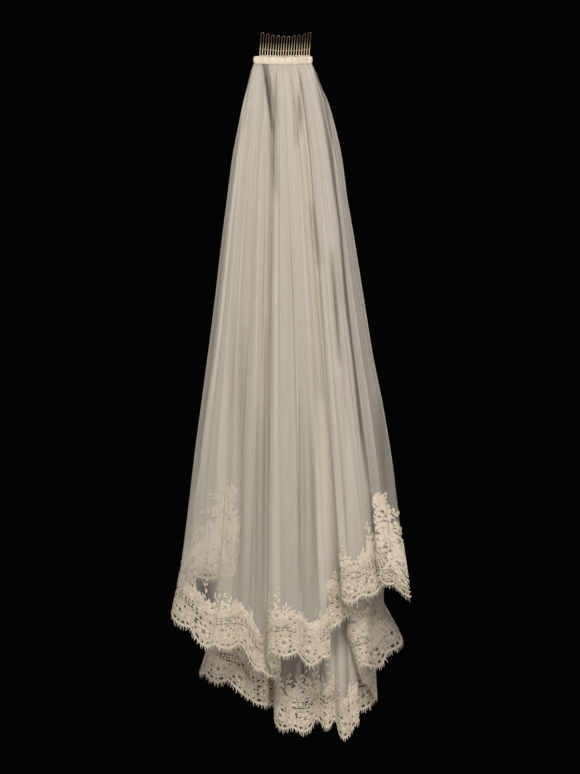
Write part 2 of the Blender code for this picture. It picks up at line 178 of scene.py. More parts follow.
def honeycomb(tree, pitch):
    """Three waves at 60 degrees: high in the middle of each hole, low on the threads."""
    place = cut_place(tree)
    total = None
    for degrees in (0, 60, 120):
        angle = math.radians(degrees)
        dot = tree.nodes.new("ShaderNodeVectorMath")
        dot.operation = "DOT_PRODUCT"
        rate = 2 * math.pi / (pitch * math.cos(math.radians(30)))
        dot.inputs[1].default_value = (rate * math.cos(angle), rate * math.sin(angle), 0)
        tree.links.new(place, dot.inputs[0])
        wave = math_node(tree, "COSINE", dot.outputs["Value"])
        total = wave if total is None else math_node(tree, "ADD", total, wave)
    return total


def make_tulle():
    made, tree, shader = new_material(
        "ivory_tulle", TULLE_LIGHT, 0.72, Sheen_Weight=0.35, Sheen_Roughness=0.5
    )
    threads = tree.nodes.new("ShaderNodeMapRange")
    threads.inputs["From Min"].default_value = 1.0
    threads.inputs["From Max"].default_value = -1.2
    threads.inputs["To Min"].default_value = 0.55
    threads.inputs["To Max"].default_value = 1.30
    tree.links.new(honeycomb(tree, NET_PITCH_MM), threads.inputs["Value"])
    cover = tree.nodes.new("ShaderNodeAttribute")
    cover.attribute_name = "cover"
    alpha = math_node(tree, "MULTIPLY", cover.outputs["Fac"], threads.outputs["Result"])
    alpha = math_node(tree, "MINIMUM", alpha, MOST_COVER)
    tree.links.new(alpha, shader.inputs["Alpha"])
    cloud = noise_node(tree, cut_place(tree), 0.02, 3.0, (1, 0.25, 1))
    two_tone(tree, shader, cloud, TULLE_DARK, TULLE_LIGHT, dimmed=True)
    return made


tulle_look = make_tulle()
print("net pitch", NET_PITCH_MM, "mm")

# %% [markdown]
# Lace is two looks: the woven cloth, which lets a little of what is behind it through its
# small openings, and the thicker thread on top, painted paler where it rises and darker
# in its dips as painted shade. Satin and wire are told apart mostly by their gloss. All
# are made from noise in the cloth's own flat measures, so that the pattern doesn't swim
# or stretch over the folds.

# %% Lace, satin and wire
# The lace thread is painted from LACE_DARK in its dips to LACE_CREST on its crests, as painted shade
LACE_DARK = (0.51, 0.43, 0.33)
LACE_LIGHT = (0.66, 0.58, 0.46)
LACE_CREST = (0.78, 0.695, 0.575)
LACE_MESH_MM = 3.0
SATIN_DARK = (0.60, 0.52, 0.41)
SATIN_LIGHT = (0.77, 0.68, 0.56)
# The wire's colours are a painted reflection: dark brown above the first height, pale gold below the
# second
WIRE_COLOUR = (0.86, 0.72, 0.52)
WIRE_BROWN = (0.12, 0.078, 0.055)
BROWN_FROM_M = 0.003
GOLD_FROM_M = -0.010


def make_lace_cloth():
    """Threads round small uneven openings, which let what is behind show through."""
    made, tree, shader = new_material("lace_cloth", LACE_LIGHT, 0.85, Sheen_Weight=0.15)
    place = cut_place(tree)
    cells = tree.nodes.new("ShaderNodeTexVoronoi")
    cells.feature = "DISTANCE_TO_EDGE"
    cells.inputs["Scale"].default_value = 1 / LACE_MESH_MM
    tree.links.new(place, cells.inputs["Vector"])
    open_part = tree.nodes.new("ShaderNodeMapRange")
    open_part.inputs["From Min"].default_value = 0.08
    open_part.inputs["From Max"].default_value = 0.36
    open_part.inputs["To Min"].default_value = 1.0
    open_part.inputs["To Max"].default_value = 0.72
    tree.links.new(cells.outputs["Distance"], open_part.inputs["Value"])
    tree.links.new(open_part.outputs["Result"], shader.inputs["Alpha"])
    two_tone(tree, shader, noise_node(tree, place, 0.16, 4.0), LACE_DARK, LACE_LIGHT, dimmed=True)
    bump(tree, shader, noise_node(tree, place, 0.9, 3.0), 0.7, 0.0009)
    return made


def make_lace_thread():
    """Close cotton stitches, with painted shade: darker in the dips and lighter on the crests."""
    made, tree, shader = new_material("lace_thread", LACE_CREST, 0.8, Sheen_Weight=0.2)
    place = cut_place(tree)
    rise = tree.nodes.new("ShaderNodeAttribute")
    rise.attribute_name = "rise"
    uneven = noise_node(tree, place, 0.12, 3.0)
    # Painted shade: the colour darkens from the lifted crest down to the rims
    level = math_node(tree, "MULTIPLY_ADD", rise.outputs["Fac"], 0.65, uneven)
    level = math_node(tree, "SUBTRACT", level, 0.22)
    two_tone(tree, shader, level, LACE_DARK, LACE_CREST, dimmed=True)
    bump(tree, shader, noise_node(tree, place, 1.3, 2.0, (1.0, 0.35, 1)), 0.7, 0.0007)
    return made


def make_satin():
    """Smooth ribbon, faintly streaked along its weave."""
    made, tree, shader = new_material("ivory_satin", SATIN_LIGHT, 0.38, Sheen_Weight=0.2)
    coordinates = tree.nodes.new("ShaderNodeTexCoord")
    place = coordinates.outputs["Object"]
    two_tone(tree, shader, noise_node(tree, place, 70.0, 3.0, (1, 1, 3)), SATIN_DARK, SATIN_LIGHT)
    bump(tree, shader, noise_node(tree, place, 900.0, 2.0, (0.2, 0.2, 3)), 0.35, 0.0003)
    return made


def make_wire():
    """Gold wire painted brown with height, unevenly: a painted reflection, pale gold low down and dark
    brown towards the tips.
    """
    made, tree, shader = new_material("comb_wire", WIRE_COLOUR, 0.48, Metallic=1.0)
    coordinates = tree.nodes.new("ShaderNodeTexCoord")
    parts = tree.nodes.new("ShaderNodeSeparateXYZ")
    tree.links.new(coordinates.outputs["Object"], parts.inputs["Vector"])
    # Painted reflection: the colour runs from dark brown high up to pale gold low down, in patches
    reflected_by_height = tree.nodes.new("ShaderNodeMapRange")
    reflected_by_height.inputs["From Min"].default_value = BROWN_FROM_M
    reflected_by_height.inputs["From Max"].default_value = GOLD_FROM_M
    tree.links.new(parts.outputs["Z"], reflected_by_height.inputs["Value"])
    patchy_reflection = noise_node(tree, coordinates.outputs["Object"], 90.0, 2.0)
    level = math_node(tree, "MULTIPLY_ADD", patchy_reflection, 0.5, reflected_by_height.outputs["Result"])
    two_tone(tree, shader, math_node(tree, "SUBTRACT", level, 0.25), WIRE_BROWN, WIRE_COLOUR)
    return made


lace_cloth_look = make_lace_cloth()
lace_thread_look = make_lace_thread()
satin_look = make_satin()
wire_look = make_wire()
print("materials:", len(bpy.data.materials))

# %% [markdown]
# ## The hang of a tier
# A tier hangs in one long curve of folds. It could be simulated, but a simulated sheet
# would not fall in the same folds as this one, so the hem is given by its turns, left to
# right along the cut edge: how far across, how deep (minus is nearer the viewer) and how
# far it drops below the binding's top. A smooth curve runs through them.

# %% Turns of the two hems
FRONT_HEM = (
    (-76, -4, 838), (-108, -10, 838), (-135, -14, 839), (-157, -18, 853),
    (-174, -25, 878), (-182, -34, 899),
    (-172, -44, 906), (-153, -50, 921), (-126, -56, 945), (-92, -54, 947), (-66, -40, 950),
    (-57, -42, 968), (-38, -46, 989), (-15, -38, 992), (-5, -47, 987), (-14, -57, 980),
    (-26, -61, 968), (-30, -69, 960), (-22, -77, 958), (1, -80, 957), (23, -76, 961),
    (41, -82, 973), (63, -80, 964), (72, -72, 956), (64, -63, 942), (56, -57, 929),
    (59, -48, 919), (72, -43, 914), (86, -42, 910), (100, -44, 898), (107, -50, 888),
    (102, -58, 878), (91, -64, 872), (90, -73, 870), (106, -78, 872), (137, -66, 862),
    (158, -57, 850), (176, -52, 846), (191, -53, 857), (200, -62, 870), (191, -71, 861),
    (172, -78, 851), (145, -86, 848),
)
BACK_HEM = (
    (-97, 72, 934), (-126, 64, 972), (-138, 50, 992), (-126, 35, 1000), (-79, 20, 1013),
    (-50, 12, 1040), (-29, 11, 1038), (-29, 24, 1039), (-36, 38, 1042), (-32, 50, 1044),
    (-23, 54, 1046), (-13, 50, 1050), (-9, 38, 1056), (-16, 24, 1064), (-16, 9, 1070),
    (2, -2, 1081), (38, -5, 1080), (54, 12, 1066), (66, 6, 1078), (78, 12, 1068),
    (92, -4, 1093), (110, -7, 1080), (118, 2, 1068), (112, 12, 1061), (105, 19, 1058),
    (105, 28, 1056), (114, 36, 1052), (140, 40, 1042), (149, 31, 1034), (143, 18, 1022),
    (131, 2, 1010), (123, -12, 996), (119, -22, 984), (127, -30, 980), (140, -28, 978),
    (156, -25, 976), (169, -19, 958), (182, -12, 946), (188, -2, 938), (185, 10, 926),
    (178, 19, 916), (170, 25, 908),
)
HEM_ROUNDING = 6


def smooth_hem(turns):
    """Points about a millimetre apart along a smooth curve through the turns."""
    knots = np.array(turns, float)
    gaps = np.linalg.norm(np.diff(knots, axis=0), axis=1)
    slopes = np.diff(knots, axis=0) / gaps[:, None]
    weights = gaps[:-1] + gaps[1:]
    middle = (slopes[:-1] * gaps[1:, None] + slopes[1:] * gaps[:-1, None]) / weights[:, None]
    tangents = np.vstack([slopes[:1], middle, slopes[-1:]])
    points = [knots[:1]]
    for i, gap in enumerate(gaps):
        t = np.linspace(0, 1, math.ceil(gap) + 1)[1:, None]
        points.append(
            knots[i] * (2 * t**3 - 3 * t**2 + 1)
            + knots[i + 1] * (3 * t**2 - 2 * t**3)
            + tangents[i] * gap * (t**3 - 2 * t**2 + t)
            + tangents[i + 1] * gap * (t**3 - t**2)
        )
    points = np.vstack(points)
    for reach in (HEM_ROUNDING, HEM_ROUNDING // 2):
        padded = np.pad(points, ((reach, reach), (0, 0)), mode="edge")
        window = np.ones(2 * reach + 1) / (2 * reach + 1)
        points = np.column_stack([np.convolve(padded[:, k], window, "valid") for k in range(3)])
    steps = np.linalg.norm(np.diff(points[:, :2], axis=0), axis=1)
    return points, np.concatenate([[0.0], np.cumsum(steps)])


print("hem turns:", len(FRONT_HEM), "and", len(BACK_HEM))

# %% [markdown]
# Every point of the hem is joined to its place in the gathers. The line spreads quickly
# under the binding and then more slowly, as the outline of the veil does. On the way the
# cloth is pleated: gathers fold it over itself near the comb, and the folds open out and
# fade before they reach the stiffer lace. Two sets of waves do that, a coarse one of the
# main folds and a fine one of small gathers, each uneven in spacing and strength. The
# tables say how far the cloth has spread at each share of the drop, and how far the
# panels at the two sides are drawn in above the stiff lace.

# %% How a tier spreads from its gathers
COMB_CENTRE_MM = -2.0
COMB_HALF_MM = 39.5
COMB_SAGITTA_MM = 8.0
GATHERS_MM = (-50.5, -48.5, 39.7, 41.7)
BINDING_TOP_MM = -19.0
GATHER_FOOT_MM = -31.5
TULLE_TOP_MM = -22.0
TIERS_APART_MM = 2.0
DEPTH_POWER = 0.55
FRONT_SPREAD = (
    (0, 0), (0.016, 0.04), (0.07, 0.145), (0.17, 0.29), (0.32, 0.43), (0.52, 0.60),
    (0.70, 0.76), (0.86, 0.88), (1, 1),
)
BACK_SPREAD = (
    (0, 0), (0.016, 0.04), (0.07, 0.14), (0.17, 0.28), (0.32, 0.40), (0.52, 0.57),
    (0.70, 0.77), (0.86, 0.94), (1, 1),
)
BACK_WAIST = (
    ((0, 0), (0.55, 0), (0.72, 0.12), (0.86, 0.26), (0.96, 0.13), (1, 0)),
    ((0, 0), (0.55, 0), (0.75, 0.07), (0.9, 0.18), (0.94, 0.2), (0.96, 0.13), (0.99, 0.04), (1, 0)),
)
# The hem turns where each side panel is whole and where it has ended
BACK_PANELS = (3, 5, 28, 32)
FRONT_WAIST = (
    ((0, 0), (0.1, 0.03), (0.2, 0.06), (0.42, 0.075), (0.6, 0.06), (0.8, 0.045), (0.93, 0.035), (1, 0)),
    (
        (0, 0), (0.04, -0.08), (0.07, -0.2), (0.12, -0.14), (0.17, -0.07), (0.25, 0), (0.55, 0),
        (0.63, -0.025), (0.75, -0.03), (0.85, -0.015), (1, 0),
    ),
)
FRONT_PANELS = (5, 12, 30, 38)
FOLD_OPENING = ((0, 0), (0.016, 0), (0.07, 0.5), (0.17, 1))


def column(table, share):
    """The value that a table of pairs has at a share or a distance."""
    xs, ys = zip(*table)
    return np.interp(share, xs, ys)


def beyond(offset, width):
    """A soft step: 0 before a line, 1 past it, over a width."""
    return np.clip(offset / width + 0.5, 0, 1)


def close_to(offset, width):
    """A soft ridge: 1 on a line, fading to nothing beside it."""
    return np.exp(-((offset / width) ** 2))


def eased(table):
    """A table's broken line with its corners rounded, kept at both ends."""
    share = np.linspace(0, 1, 401)
    value = column(table, share)
    padded = np.concatenate([2 * value[0] - value[8:0:-1], value, 2 * value[-1] - value[-2:-10:-1]])
    soft = np.convolve(padded, np.ones(17) / 17, "valid")
    blend = np.minimum(1, share / 0.03)
    return share, value * (1 - blend) + soft * blend


def comb_depth(across):
    """How far the comb's arc stands back from its middle."""
    return -COMB_SAGITTA_MM * ((across - COMB_CENTRE_MM) / COMB_HALF_MM) ** 2


print("gathers", round(GATHERS_MM[-1] - GATHERS_MM[0]), "mm wide")

# %% The cloth of a tier
class Tier:
    """One length of tulle as a surface of (run along the hem, share of the drop)."""

    def __init__(self, turns, spread, folds, side, waves, creases, panels, waists):
        self.points, self.runs = smooth_hem(turns)
        self.length = self.runs[-1]
        self.spread = eased(spread)
        self.side = side
        self.waves = waves
        self.creases = creases
        knots = np.array(turns, float)

        def near(turn):
            return np.argmin(np.linalg.norm(self.points - knots[turn], axis=1))

        self.panels = [self.runs[near(turn)] for turn in panels]
        self.waists = waists
        nearest = [near(turn) for turn in folds]
        self.fold_runs = self.runs[nearest]
        self.fold_across = self.points[nearest, 0]

    def hem(self, run, axis):
        """Across (0), depth (1) or drop (2) of the hem at a run along it."""
        return np.interp(run, self.runs, self.points[:, axis])

    def drop(self, run):
        return self.hem(run, 2) - BINDING_TOP_MM + GATHER_FOOT_MM

    def gathers(self, run):
        return np.interp(run, (0, *self.fold_runs, self.length), GATHERS_MM)

    def waist(self, run, share):
        """How far an edge panel is drawn in above its stiff lace."""
        left, left_end, right_start, right = self.panels
        left_part = column(self.waists[0], share) * np.interp(run, (left, left_end), (1, 0))
        return left_part + column(self.waists[1], share) * np.interp(run, (right_start, right), (0, 1))

    def smooth_surface(self, run, share):
        """The surface before it is pleated."""
        across = self.gathers(run)
        depth = comb_depth(across) + self.side * TIERS_APART_MM
        spread = np.interp(share, *self.spread)
        spread = np.where(share > 1, 1 + (share - 1) * 0.8, np.maximum(spread, 0))
        swing = np.power(np.maximum(spread, 0), DEPTH_POWER)
        left = run < self.fold_runs[0]
        right = run > self.fold_runs[1]
        opening = np.where(left | right, column(FOLD_OPENING, share), 1.0)
        near_left = run < self.fold_runs.mean()
        fold_run = np.where(near_left, self.fold_runs[0], self.fold_runs[1])
        fold = np.where(near_left, self.fold_across[0], self.fold_across[1])
        shut = fold - self.gathers(fold_run)
        reach = shut + (self.hem(run, 0) - across - shut) * opening
        height = GATHER_FOOT_MM - self.drop(run) * share
        inside = share < 0
        tucked_in = GATHER_FOOT_MM + share / -0.02 * (TULLE_TOP_MM - GATHER_FOOT_MM)
        height = np.where(inside, tucked_in, height)
        x = across + reach * spread * (1 - self.waist(run, share))
        y = depth + (self.hem(run, 1) - depth) * swing
        return np.stack([x, y, height], axis=-1), opening

    def surface(self, run, share):
        run, share = np.broadcast_arrays(np.asarray(run, float), np.asarray(share, float))
        place, opening = self.smooth_surface(run, share)
        ahead, _ = self.smooth_surface(run + 1.5, share)
        behind, _ = self.smooth_surface(run - 1.5, share)
        along = (ahead - behind)[..., :2]
        scale = np.linalg.norm(along, axis=-1, keepdims=True)
        along = along / np.maximum(scale, 1e-6)
        scale = np.minimum(scale[..., 0] / 3.0, 1.0)
        across = np.stack([along[..., 1], -along[..., 0]], axis=-1)
        turn = 2 * math.pi * run / self.length
        main, fine, phase = self.waves
        lower = np.clip(share, 0, 1)
        drift = 0.5 * np.sin(2.2 * lower * math.pi + 4 * turn + phase)
        first = main * turn + 1.25 * np.sin(3 * turn + phase) + 0.8 * np.sin(7 * turn + 2 * phase) + drift
        second = fine * turn + 1.1 * np.sin(5 * turn + phase + 1) + 0.9 * np.sin(11 * turn) - drift
        patch = 0.62 + 0.38 * np.sin(5 * turn + 1.3 + phase) * np.cos(2 * turn + phase)
        first_lap = patch * np.interp(lower, (0, 0.3, 0.62, 0.86, 1), (1.9, 1.9, 1.55, 0.75, 0.25))
        second_lap = np.interp(lower, (0, 0.25, 0.5, 0.8), (1.2, 0.85, 0.5, 0)) * (1.5 - patch)
        second_lap = second_lap + 0.25 * np.interp(lower, (0.5, 0.8, 1), (0, 1, 0.6))
        facing = 0.12 + 0.88 * along[..., 0] ** 2
        first_size = opening * self.length / (2 * math.pi * main) * scale * facing
        second_size = opening * self.length / (2 * math.pi * fine) * scale * facing
        slide = -first_lap * first_size * np.sin(first) - second_lap * second_size * np.sin(second)
        depth = 0.55 * np.minimum(first_lap, 1.2) * first_size * np.sin(first + 0.35)
        depth = depth + 0.6 * second_lap * second_size * np.sin(second + 0.3)
        moved = place.copy()
        moved[..., :2] += along * slide[..., None] + across * depth[..., None]
        for top, foot, start, end, trough, width in self.creases:
            drop = BINDING_TOP_MM - moved[..., 2]
            part = np.clip((drop - start) / (end - start), 0, 1)
            centre = top + (foot - top) * part
            fade = np.sin(math.pi * part) ** 0.6
            moved[..., 1] += trough * fade * close_to(moved[..., 0] - centre, width)
        return moved

    def normal(self, run, share):
        sideways = self.surface(run + 1.0, share) - self.surface(run - 1.0, share)
        downwards = self.surface(run, share + 0.002) - self.surface(run, share - 0.002)
        out = np.cross(sideways, downwards)
        return -out / np.maximum(np.linalg.norm(out, axis=-1, keepdims=True), 1e-9)

    def place(self, run, height, out):
        """A point sewn on: a height above the hem, lifted off the cloth."""
        share = 1 - height / self.drop(run)
        return self.surface(run, share) + self.normal(run, share) * np.asarray(out)[..., None]


# %% [markdown]
# The waves give the cloth its many small pleats, but the eye goes to a few long creases.
# Those are placed one by one as soft troughs or ridges, each with its own lean, length,
# depth and width, thickest half way and fading out at both ends. The back tier has some
# of its own, since it is seen through the front one and from behind.

# %% Long creases, and the two tiers
# Across at the top and foot, drop from and to, depth, width
FRONT_CREASES = (
    (-37, -24, 20, 150, 5, 4),
    (-24, -15, 60, 240, 6, 5),
    (-17, -14, 30, 130, 4, 3),
    (24, 21, 50, 150, 6, 4),
    (40, 55, 240, 350, 7, 5),
    (74, 88, 320, 500, 8, 6),
    (25, 27, 520, 900, 7, 5),
    (44, 45, 480, 880, 6, 5),
    (-30, -33, 420, 860, 6, 6),
    (-66, -71, 430, 900, 7, 6),
    (-84, -90, 380, 820, 6, 6),
    (95, 100, 380, 800, 5, 6),
)
BACK_CREASES = (
    (-30, -60, 100, 700, -6, 8),
    (10, 25, 60, 620, -7, 7),
    (40, 90, 200, 860, -6, 9),
)
front = Tier(
    FRONT_HEM, FRONT_SPREAD, (5, -4), -1, (17, 53, 0.4), FRONT_CREASES, FRONT_PANELS, FRONT_WAIST
)
back = Tier(
    BACK_HEM, BACK_SPREAD, (2, -4), 1, (15, 47, 2.1), BACK_CREASES, BACK_PANELS, BACK_WAIST
)
print("hems measure", round(front.length), "and", round(back.length), "mm round their folds")

# %% [markdown]
# ## The tulle
# Each tier is one thin shell. A layer of net hides a third of what is behind it, and a
# gathered stretch hides more because more net is packed into it, so the shell carries
# its cover as a number on each point. One fixed see-through look would be simpler, but
# it would lose the pale, close gathers at the top.

# %% Meshes from grids
def add_mesh(name, points, faces, look, attributes=()):
    """A smooth piece in millimetres, with numbers of its own on each point."""
    mesh = bpy.data.meshes.new(name)
    mesh.from_pydata((np.asarray(points) * MM).tolist(), [], faces)
    for key, kind, values in attributes:
        layer = mesh.attributes.new(key, kind, "POINT")
        field = "vector" if kind == "FLOAT_VECTOR" else "value"
        layer.data.foreach_set(field, np.asarray(values, np.float32).ravel())
    mesh.materials.append(look)
    mesh.shade_smooth()
    piece = bpy.data.objects.new(name, mesh)
    bpy.context.scene.collection.objects.link(piece)
    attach(piece, "root")
    return piece


def grid_faces(rows, columns, keep=None):
    """The four-sided faces of a grid of points, or only those to keep."""
    index = np.arange(rows * columns).reshape(rows, columns)
    quads = np.stack([index[1:, :-1], index[1:, 1:], index[:-1, 1:], index[:-1, :-1]], axis=-1)
    if keep is not None:
        return quads[keep].tolist()
    return quads.reshape(-1, 4).tolist()


print("a grid of 3 x 3 points has", len(grid_faces(3, 3)), "faces")

# %% [markdown]
# The cut has rounded lower corners. The tulle ends a little above the hem line, because
# the lace carries the scallops, and a real veil is trimmed the same way.

# %% The lower edge of the cut
LAYER_COVER = 0.34
CORNER_MM = 28.0
SCALLOP_MM = 40.0
SCALLOP_DEPTH_MM = 8.5
TULLE_SHORT_MM = 6.0


def hem_clearance(tier, run):
    """Height of the tulle's lower edge above the hem line, with the cut's rounded corners."""
    side = np.minimum(run, tier.length - run)
    inset = np.clip(CORNER_MM - side, 0, CORNER_MM)
    return CORNER_MM - np.sqrt(CORNER_MM**2 - inset**2) + TULLE_SHORT_MM


def fullness(share):
    """How many layers of net lie on each other, from the gathers to the hem."""
    return np.interp(share, (0, 0.1, 0.3, 0.6, 0.86, 0.95), (2.3, 2.1, 1.9, 1.7, 1.4, 1.3))


print("layers at the gathers", float(fullness(0.0)), "and at the hem", float(fullness(1.0)))

# %% [markdown]
# Net looks darker or lighter where its layers part or meet. At each side of the veil
# hangs a strip of fewer layers. A dark crease runs down the inner line of the right one
# and a pale fold down that of the left one, and between the folds in the middle there are
# narrow gaps. Pleats fine enough to give all of these would take millions of faces, so
# their places are listed in millimetres, and the cover is thinned or thickened there.
# Along the outermost folds the net is seen edge on, so a pale rim is left. Behind the
# lace most of the tulle is cut away, as it is once lace is sewn on, and it is thin along
# the front tier's left side edge, so that the lace there shows through.

# %% Where the layers part and meet
# The outer strips: where they begin (drop, across), and how much of the cover they keep
LEFT_LINE = ((110, -71), (262, -90), (450, -109), (590, -129), (670, -138), (710, -148))
RIGHT_LINE = (
    (10, 41), (54, 51), (101, 62), (158, 72), (275, 88), (388, 97), (491, 110), (600, 121), (687, 132),
    (858, 145),
)
LEFT_SHARE = ((0, 0.8), (110, 0.6), (600, 0.62), (760, 0.9), (800, 1.0))
# A wider and fainter strip on the left, in the same way
LEFT_SOFT_LINE = ((0, -46), (80, -56), (300, -60), (500, -66), (640, -72), (740, -76))
LEFT_SOFT_SHARE = ((0, 0.75), (60, 0.75), (420, 0.8), (560, 0.85), (700, 0.9), (780, 1.0))
RIGHT_SHARE = ((0, 0.7), (60, 0.48), (400, 0.54), (600, 0.56), (760, 0.5), (850, 1.0))
# What the crease loses, and what the fold and the rim gain, down the drop
CREASE_LOSS = ((20, 0), (90, 0.6), (160, 0.78), (600, 0.75), (720, 0))
FOLD_GAIN = ((90, 0), (160, 0.4), (620, 0.4), (720, 0))
RIM_GAIN = ((30, 0), (80, 0.9), (620, 0.9), (700, 0))
# Gaps between folds: across at the top and foot, drop from and to, what is lost there
# (minus is gained, where folds overlap), width
FOLD_GAPS = (
    (-41, -19, -30, 125, 0.85, 3.6),
    (-22, -17, 95, 240, 0.55, 3.6),
    (-31, -19, 5, 135, 0.5, 4.2),
    (12, 15, 60, 160, 0.3, 2.2),
    (-32, -15, 0, 100, 0.5, 2.4),
    (24, 21, 30, 150, 0.5, 3.0),
    (42, 54, 230, 350, 0.55, 4.0),
    (74, 87, 310, 500, 0.65, 4.5),
    (21, 23, 530, 870, 0.4, 3.0),
    (-40, -42, 560, 900, 0.22, 10.0),
    (44, 45, 480, 880, 0.3, 4.0),
    (-30, -33, 420, 860, 0.3, 4.0),
    (-66, -71, 430, 880, 0.3, 5.0),
    (-84, -90, 380, 820, 0.3, 5.0),
    (146, 163, 540, 720, 0.45, 8.0),
    (-128, -130, 820, 905, 0.62, 18.0),
    (78, 82, 890, 1070, -1.2, 14.0),
    (58, 68, 540, 920, -0.55, 9.0),
    (29, 31, 965, 1050, 0.6, 5.0),
    (12, 14, 985, 1050, 0.5, 3.5),
    (21, 22, 965, 1050, -0.7, 4.0),
    (44, 46, 970, 1050, -0.5, 5.0),
)
# What is left of the tulle behind the lace, by the height above the hem
LACE_CUT_AWAY = ((0, 0.25), (40, 0.25), (60, 1.0))
# How wide each of these lines is, and how far a fold or crease lies inside its line
STRIP_EDGE_MM = 3.0
SOFT_EDGE_MM = 14.0
CREASE_MM, CREASE_IN_MM = 2.8, 1.0
FOLD_MM, FOLD_IN_MM = 2.5, 4.0
RIM_WIDTH_MM = 2.2
SIDE_FADE_MM = 50.0
SIDE_COVER = 0.35


def layers_left(tier, runs, places):
    """How much of the cover stays: less in the outer strips, in gaps and behind the lace."""
    across = places[..., 0]
    drop = BINDING_TOP_MM - places[..., 2]
    left_line, right_line = column(LEFT_LINE, drop), column(RIGHT_LINE, drop)
    left = 1 - (1 - column(LEFT_SHARE, drop)) * beyond(left_line - across, STRIP_EDGE_MM)
    beyond_soft = beyond(column(LEFT_SOFT_LINE, drop) - across, SOFT_EDGE_MM)
    left *= 1 - (1 - column(LEFT_SOFT_SHARE, drop)) * beyond_soft
    left *= 1 - (1 - column(RIGHT_SHARE, drop)) * beyond(across - right_line, STRIP_EDGE_MM)
    for top, foot, start, end, lost, width in FOLD_GAPS:
        part = np.clip((drop - start) / (end - start), 0, 1)
        centre = top + (foot - top) * part
        left *= 1 - lost * np.sin(math.pi * part) ** 0.5 * close_to(across - centre, width)
    left *= 1 - column(CREASE_LOSS, drop) * close_to(across + CREASE_IN_MM - right_line, CREASE_MM)
    left *= 1 + column(FOLD_GAIN, drop) * close_to(across - FOLD_IN_MM - left_line, FOLD_MM)
    from_left = across - across.min(axis=1)[:, None]
    from_right = across.max(axis=1)[:, None] - across
    left *= 1 + column(RIM_GAIN, drop) * close_to(np.minimum(from_left, from_right), RIM_WIDTH_MM)
    above_hem = tier.hem(runs, 2) - drop
    near_side = np.interp(runs, (0, SIDE_FADE_MM), (SIDE_COVER, 1.0)) if tier is front else 1.0
    return left * near_side * column(LACE_CUT_AWAY, above_hem)


print("gaps between folds:", len(FOLD_GAPS))

# %% [markdown]
# Less light reaches the back tier behind the front one and just below its hem. Rays pass
# through see-through cloth too easily to give that shade by themselves, so it is a
# second number on each point, and the colour is scaled by it. It belongs to a place on
# the cloth, and stays there when the veil is seen from elsewhere.

# %% Shade under the front tier
# The front tier's hem seen as one line: across, drop
SHADE_HEM = (
    (-190, 899), (-126, 945), (-66, 950), (-38, 985), (41, 973), (72, 950), (90, 905), (137, 862),
    (200, 861),
)
# Across: how far below that line the shade reaches, and how much light is left in it
SHADE_REACH = ((-190, 60), (124, 60), (134, 190), (200, 170))
SHADE_LEVEL = ((-190, 0.9), (-30, 0.85), (-10, 0.72), (100, 0.72), (124, 0.8), (137, 0.3), (200, 0.28))
SHADE_TOP_LEVEL = 0.9
SHADE_BACK_MM = 80.0


def light_left(tier, places):
    """The back tier gets less light just below the front tier's hem and behind it."""
    if tier is front:
        return np.ones(places.shape[:-1])
    below = BINDING_TOP_MM - places[..., 2] - column(SHADE_HEM, places[..., 0])
    reach = column(SHADE_REACH, places[..., 0])
    open_air = np.clip(below / reach, 0, 1)
    level = column(SHADE_LEVEL, places[..., 0])
    behind = level + (SHADE_TOP_LEVEL - level) * np.clip(-below / SHADE_BACK_MM, 0, 1)
    return np.where(below < 0, behind, level + (1 - level) * open_air**1.5)


print("deepest shade", min(level for _, level in SHADE_LEVEL))

# %% The two shells of tulle
def add_tulle(name, tier, columns=470, rows=96):
    """A shell over the whole tier, its rows closer together towards the gathers."""
    run = np.linspace(1.5, tier.length - 1.5, columns)
    even = np.linspace(0, 1, rows - 3)
    share = np.concatenate([[-0.02, -0.01], 0.75 * even + 0.25 * even**2, [1.0]])
    ends = 1 - hem_clearance(tier, run) / tier.drop(run)
    shares = np.where(share[:, None] > 0, share[:, None] * ends[None, :], share[:, None])
    runs = np.broadcast_to(run, shares.shape)
    points = tier.surface(runs, shares)
    cut = np.stack([runs, -tier.drop(runs) * shares, np.zeros_like(shares)], axis=-1)
    cover = 1 - (1 - LAYER_COVER) ** fullness(shares)
    cover = cover * layers_left(tier, runs, points)
    light = light_left(tier, points)
    attributes = (("cut", "FLOAT_VECTOR", cut), ("cover", "FLOAT", cover), ("light", "FLOAT", light))
    return add_mesh(name, points.reshape(-1, 3), grid_faces(*shares.shape), tulle_look, attributes)


front_tulle = add_tulle("front_tulle", front)
back_tulle = add_tulle("back_tulle", back)
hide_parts("front_tier")
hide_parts("back_tier")
print("tulle:", len(front_tulle.data.polygons) + len(back_tulle.data.polygons), "faces")

# %% [markdown]
# ## The lace
# The edging is laid out flat first, as it is on the sewing table: a distance along the
# cut edge, which runs down one side, round the corner, along the hem and up the other
# side, and a height in from the edge. Motifs are drawn in that flat strip and then
# carried onto the folds. Drawing on the folds directly would stretch every flower.

# %% The flat strip and how it lies on a tier
SIDE_LACE_MM = 150.0
SPRAYS_ONLY_MM = 66.0
TAPER_MM = 95.0
NARROWEST = 0.12


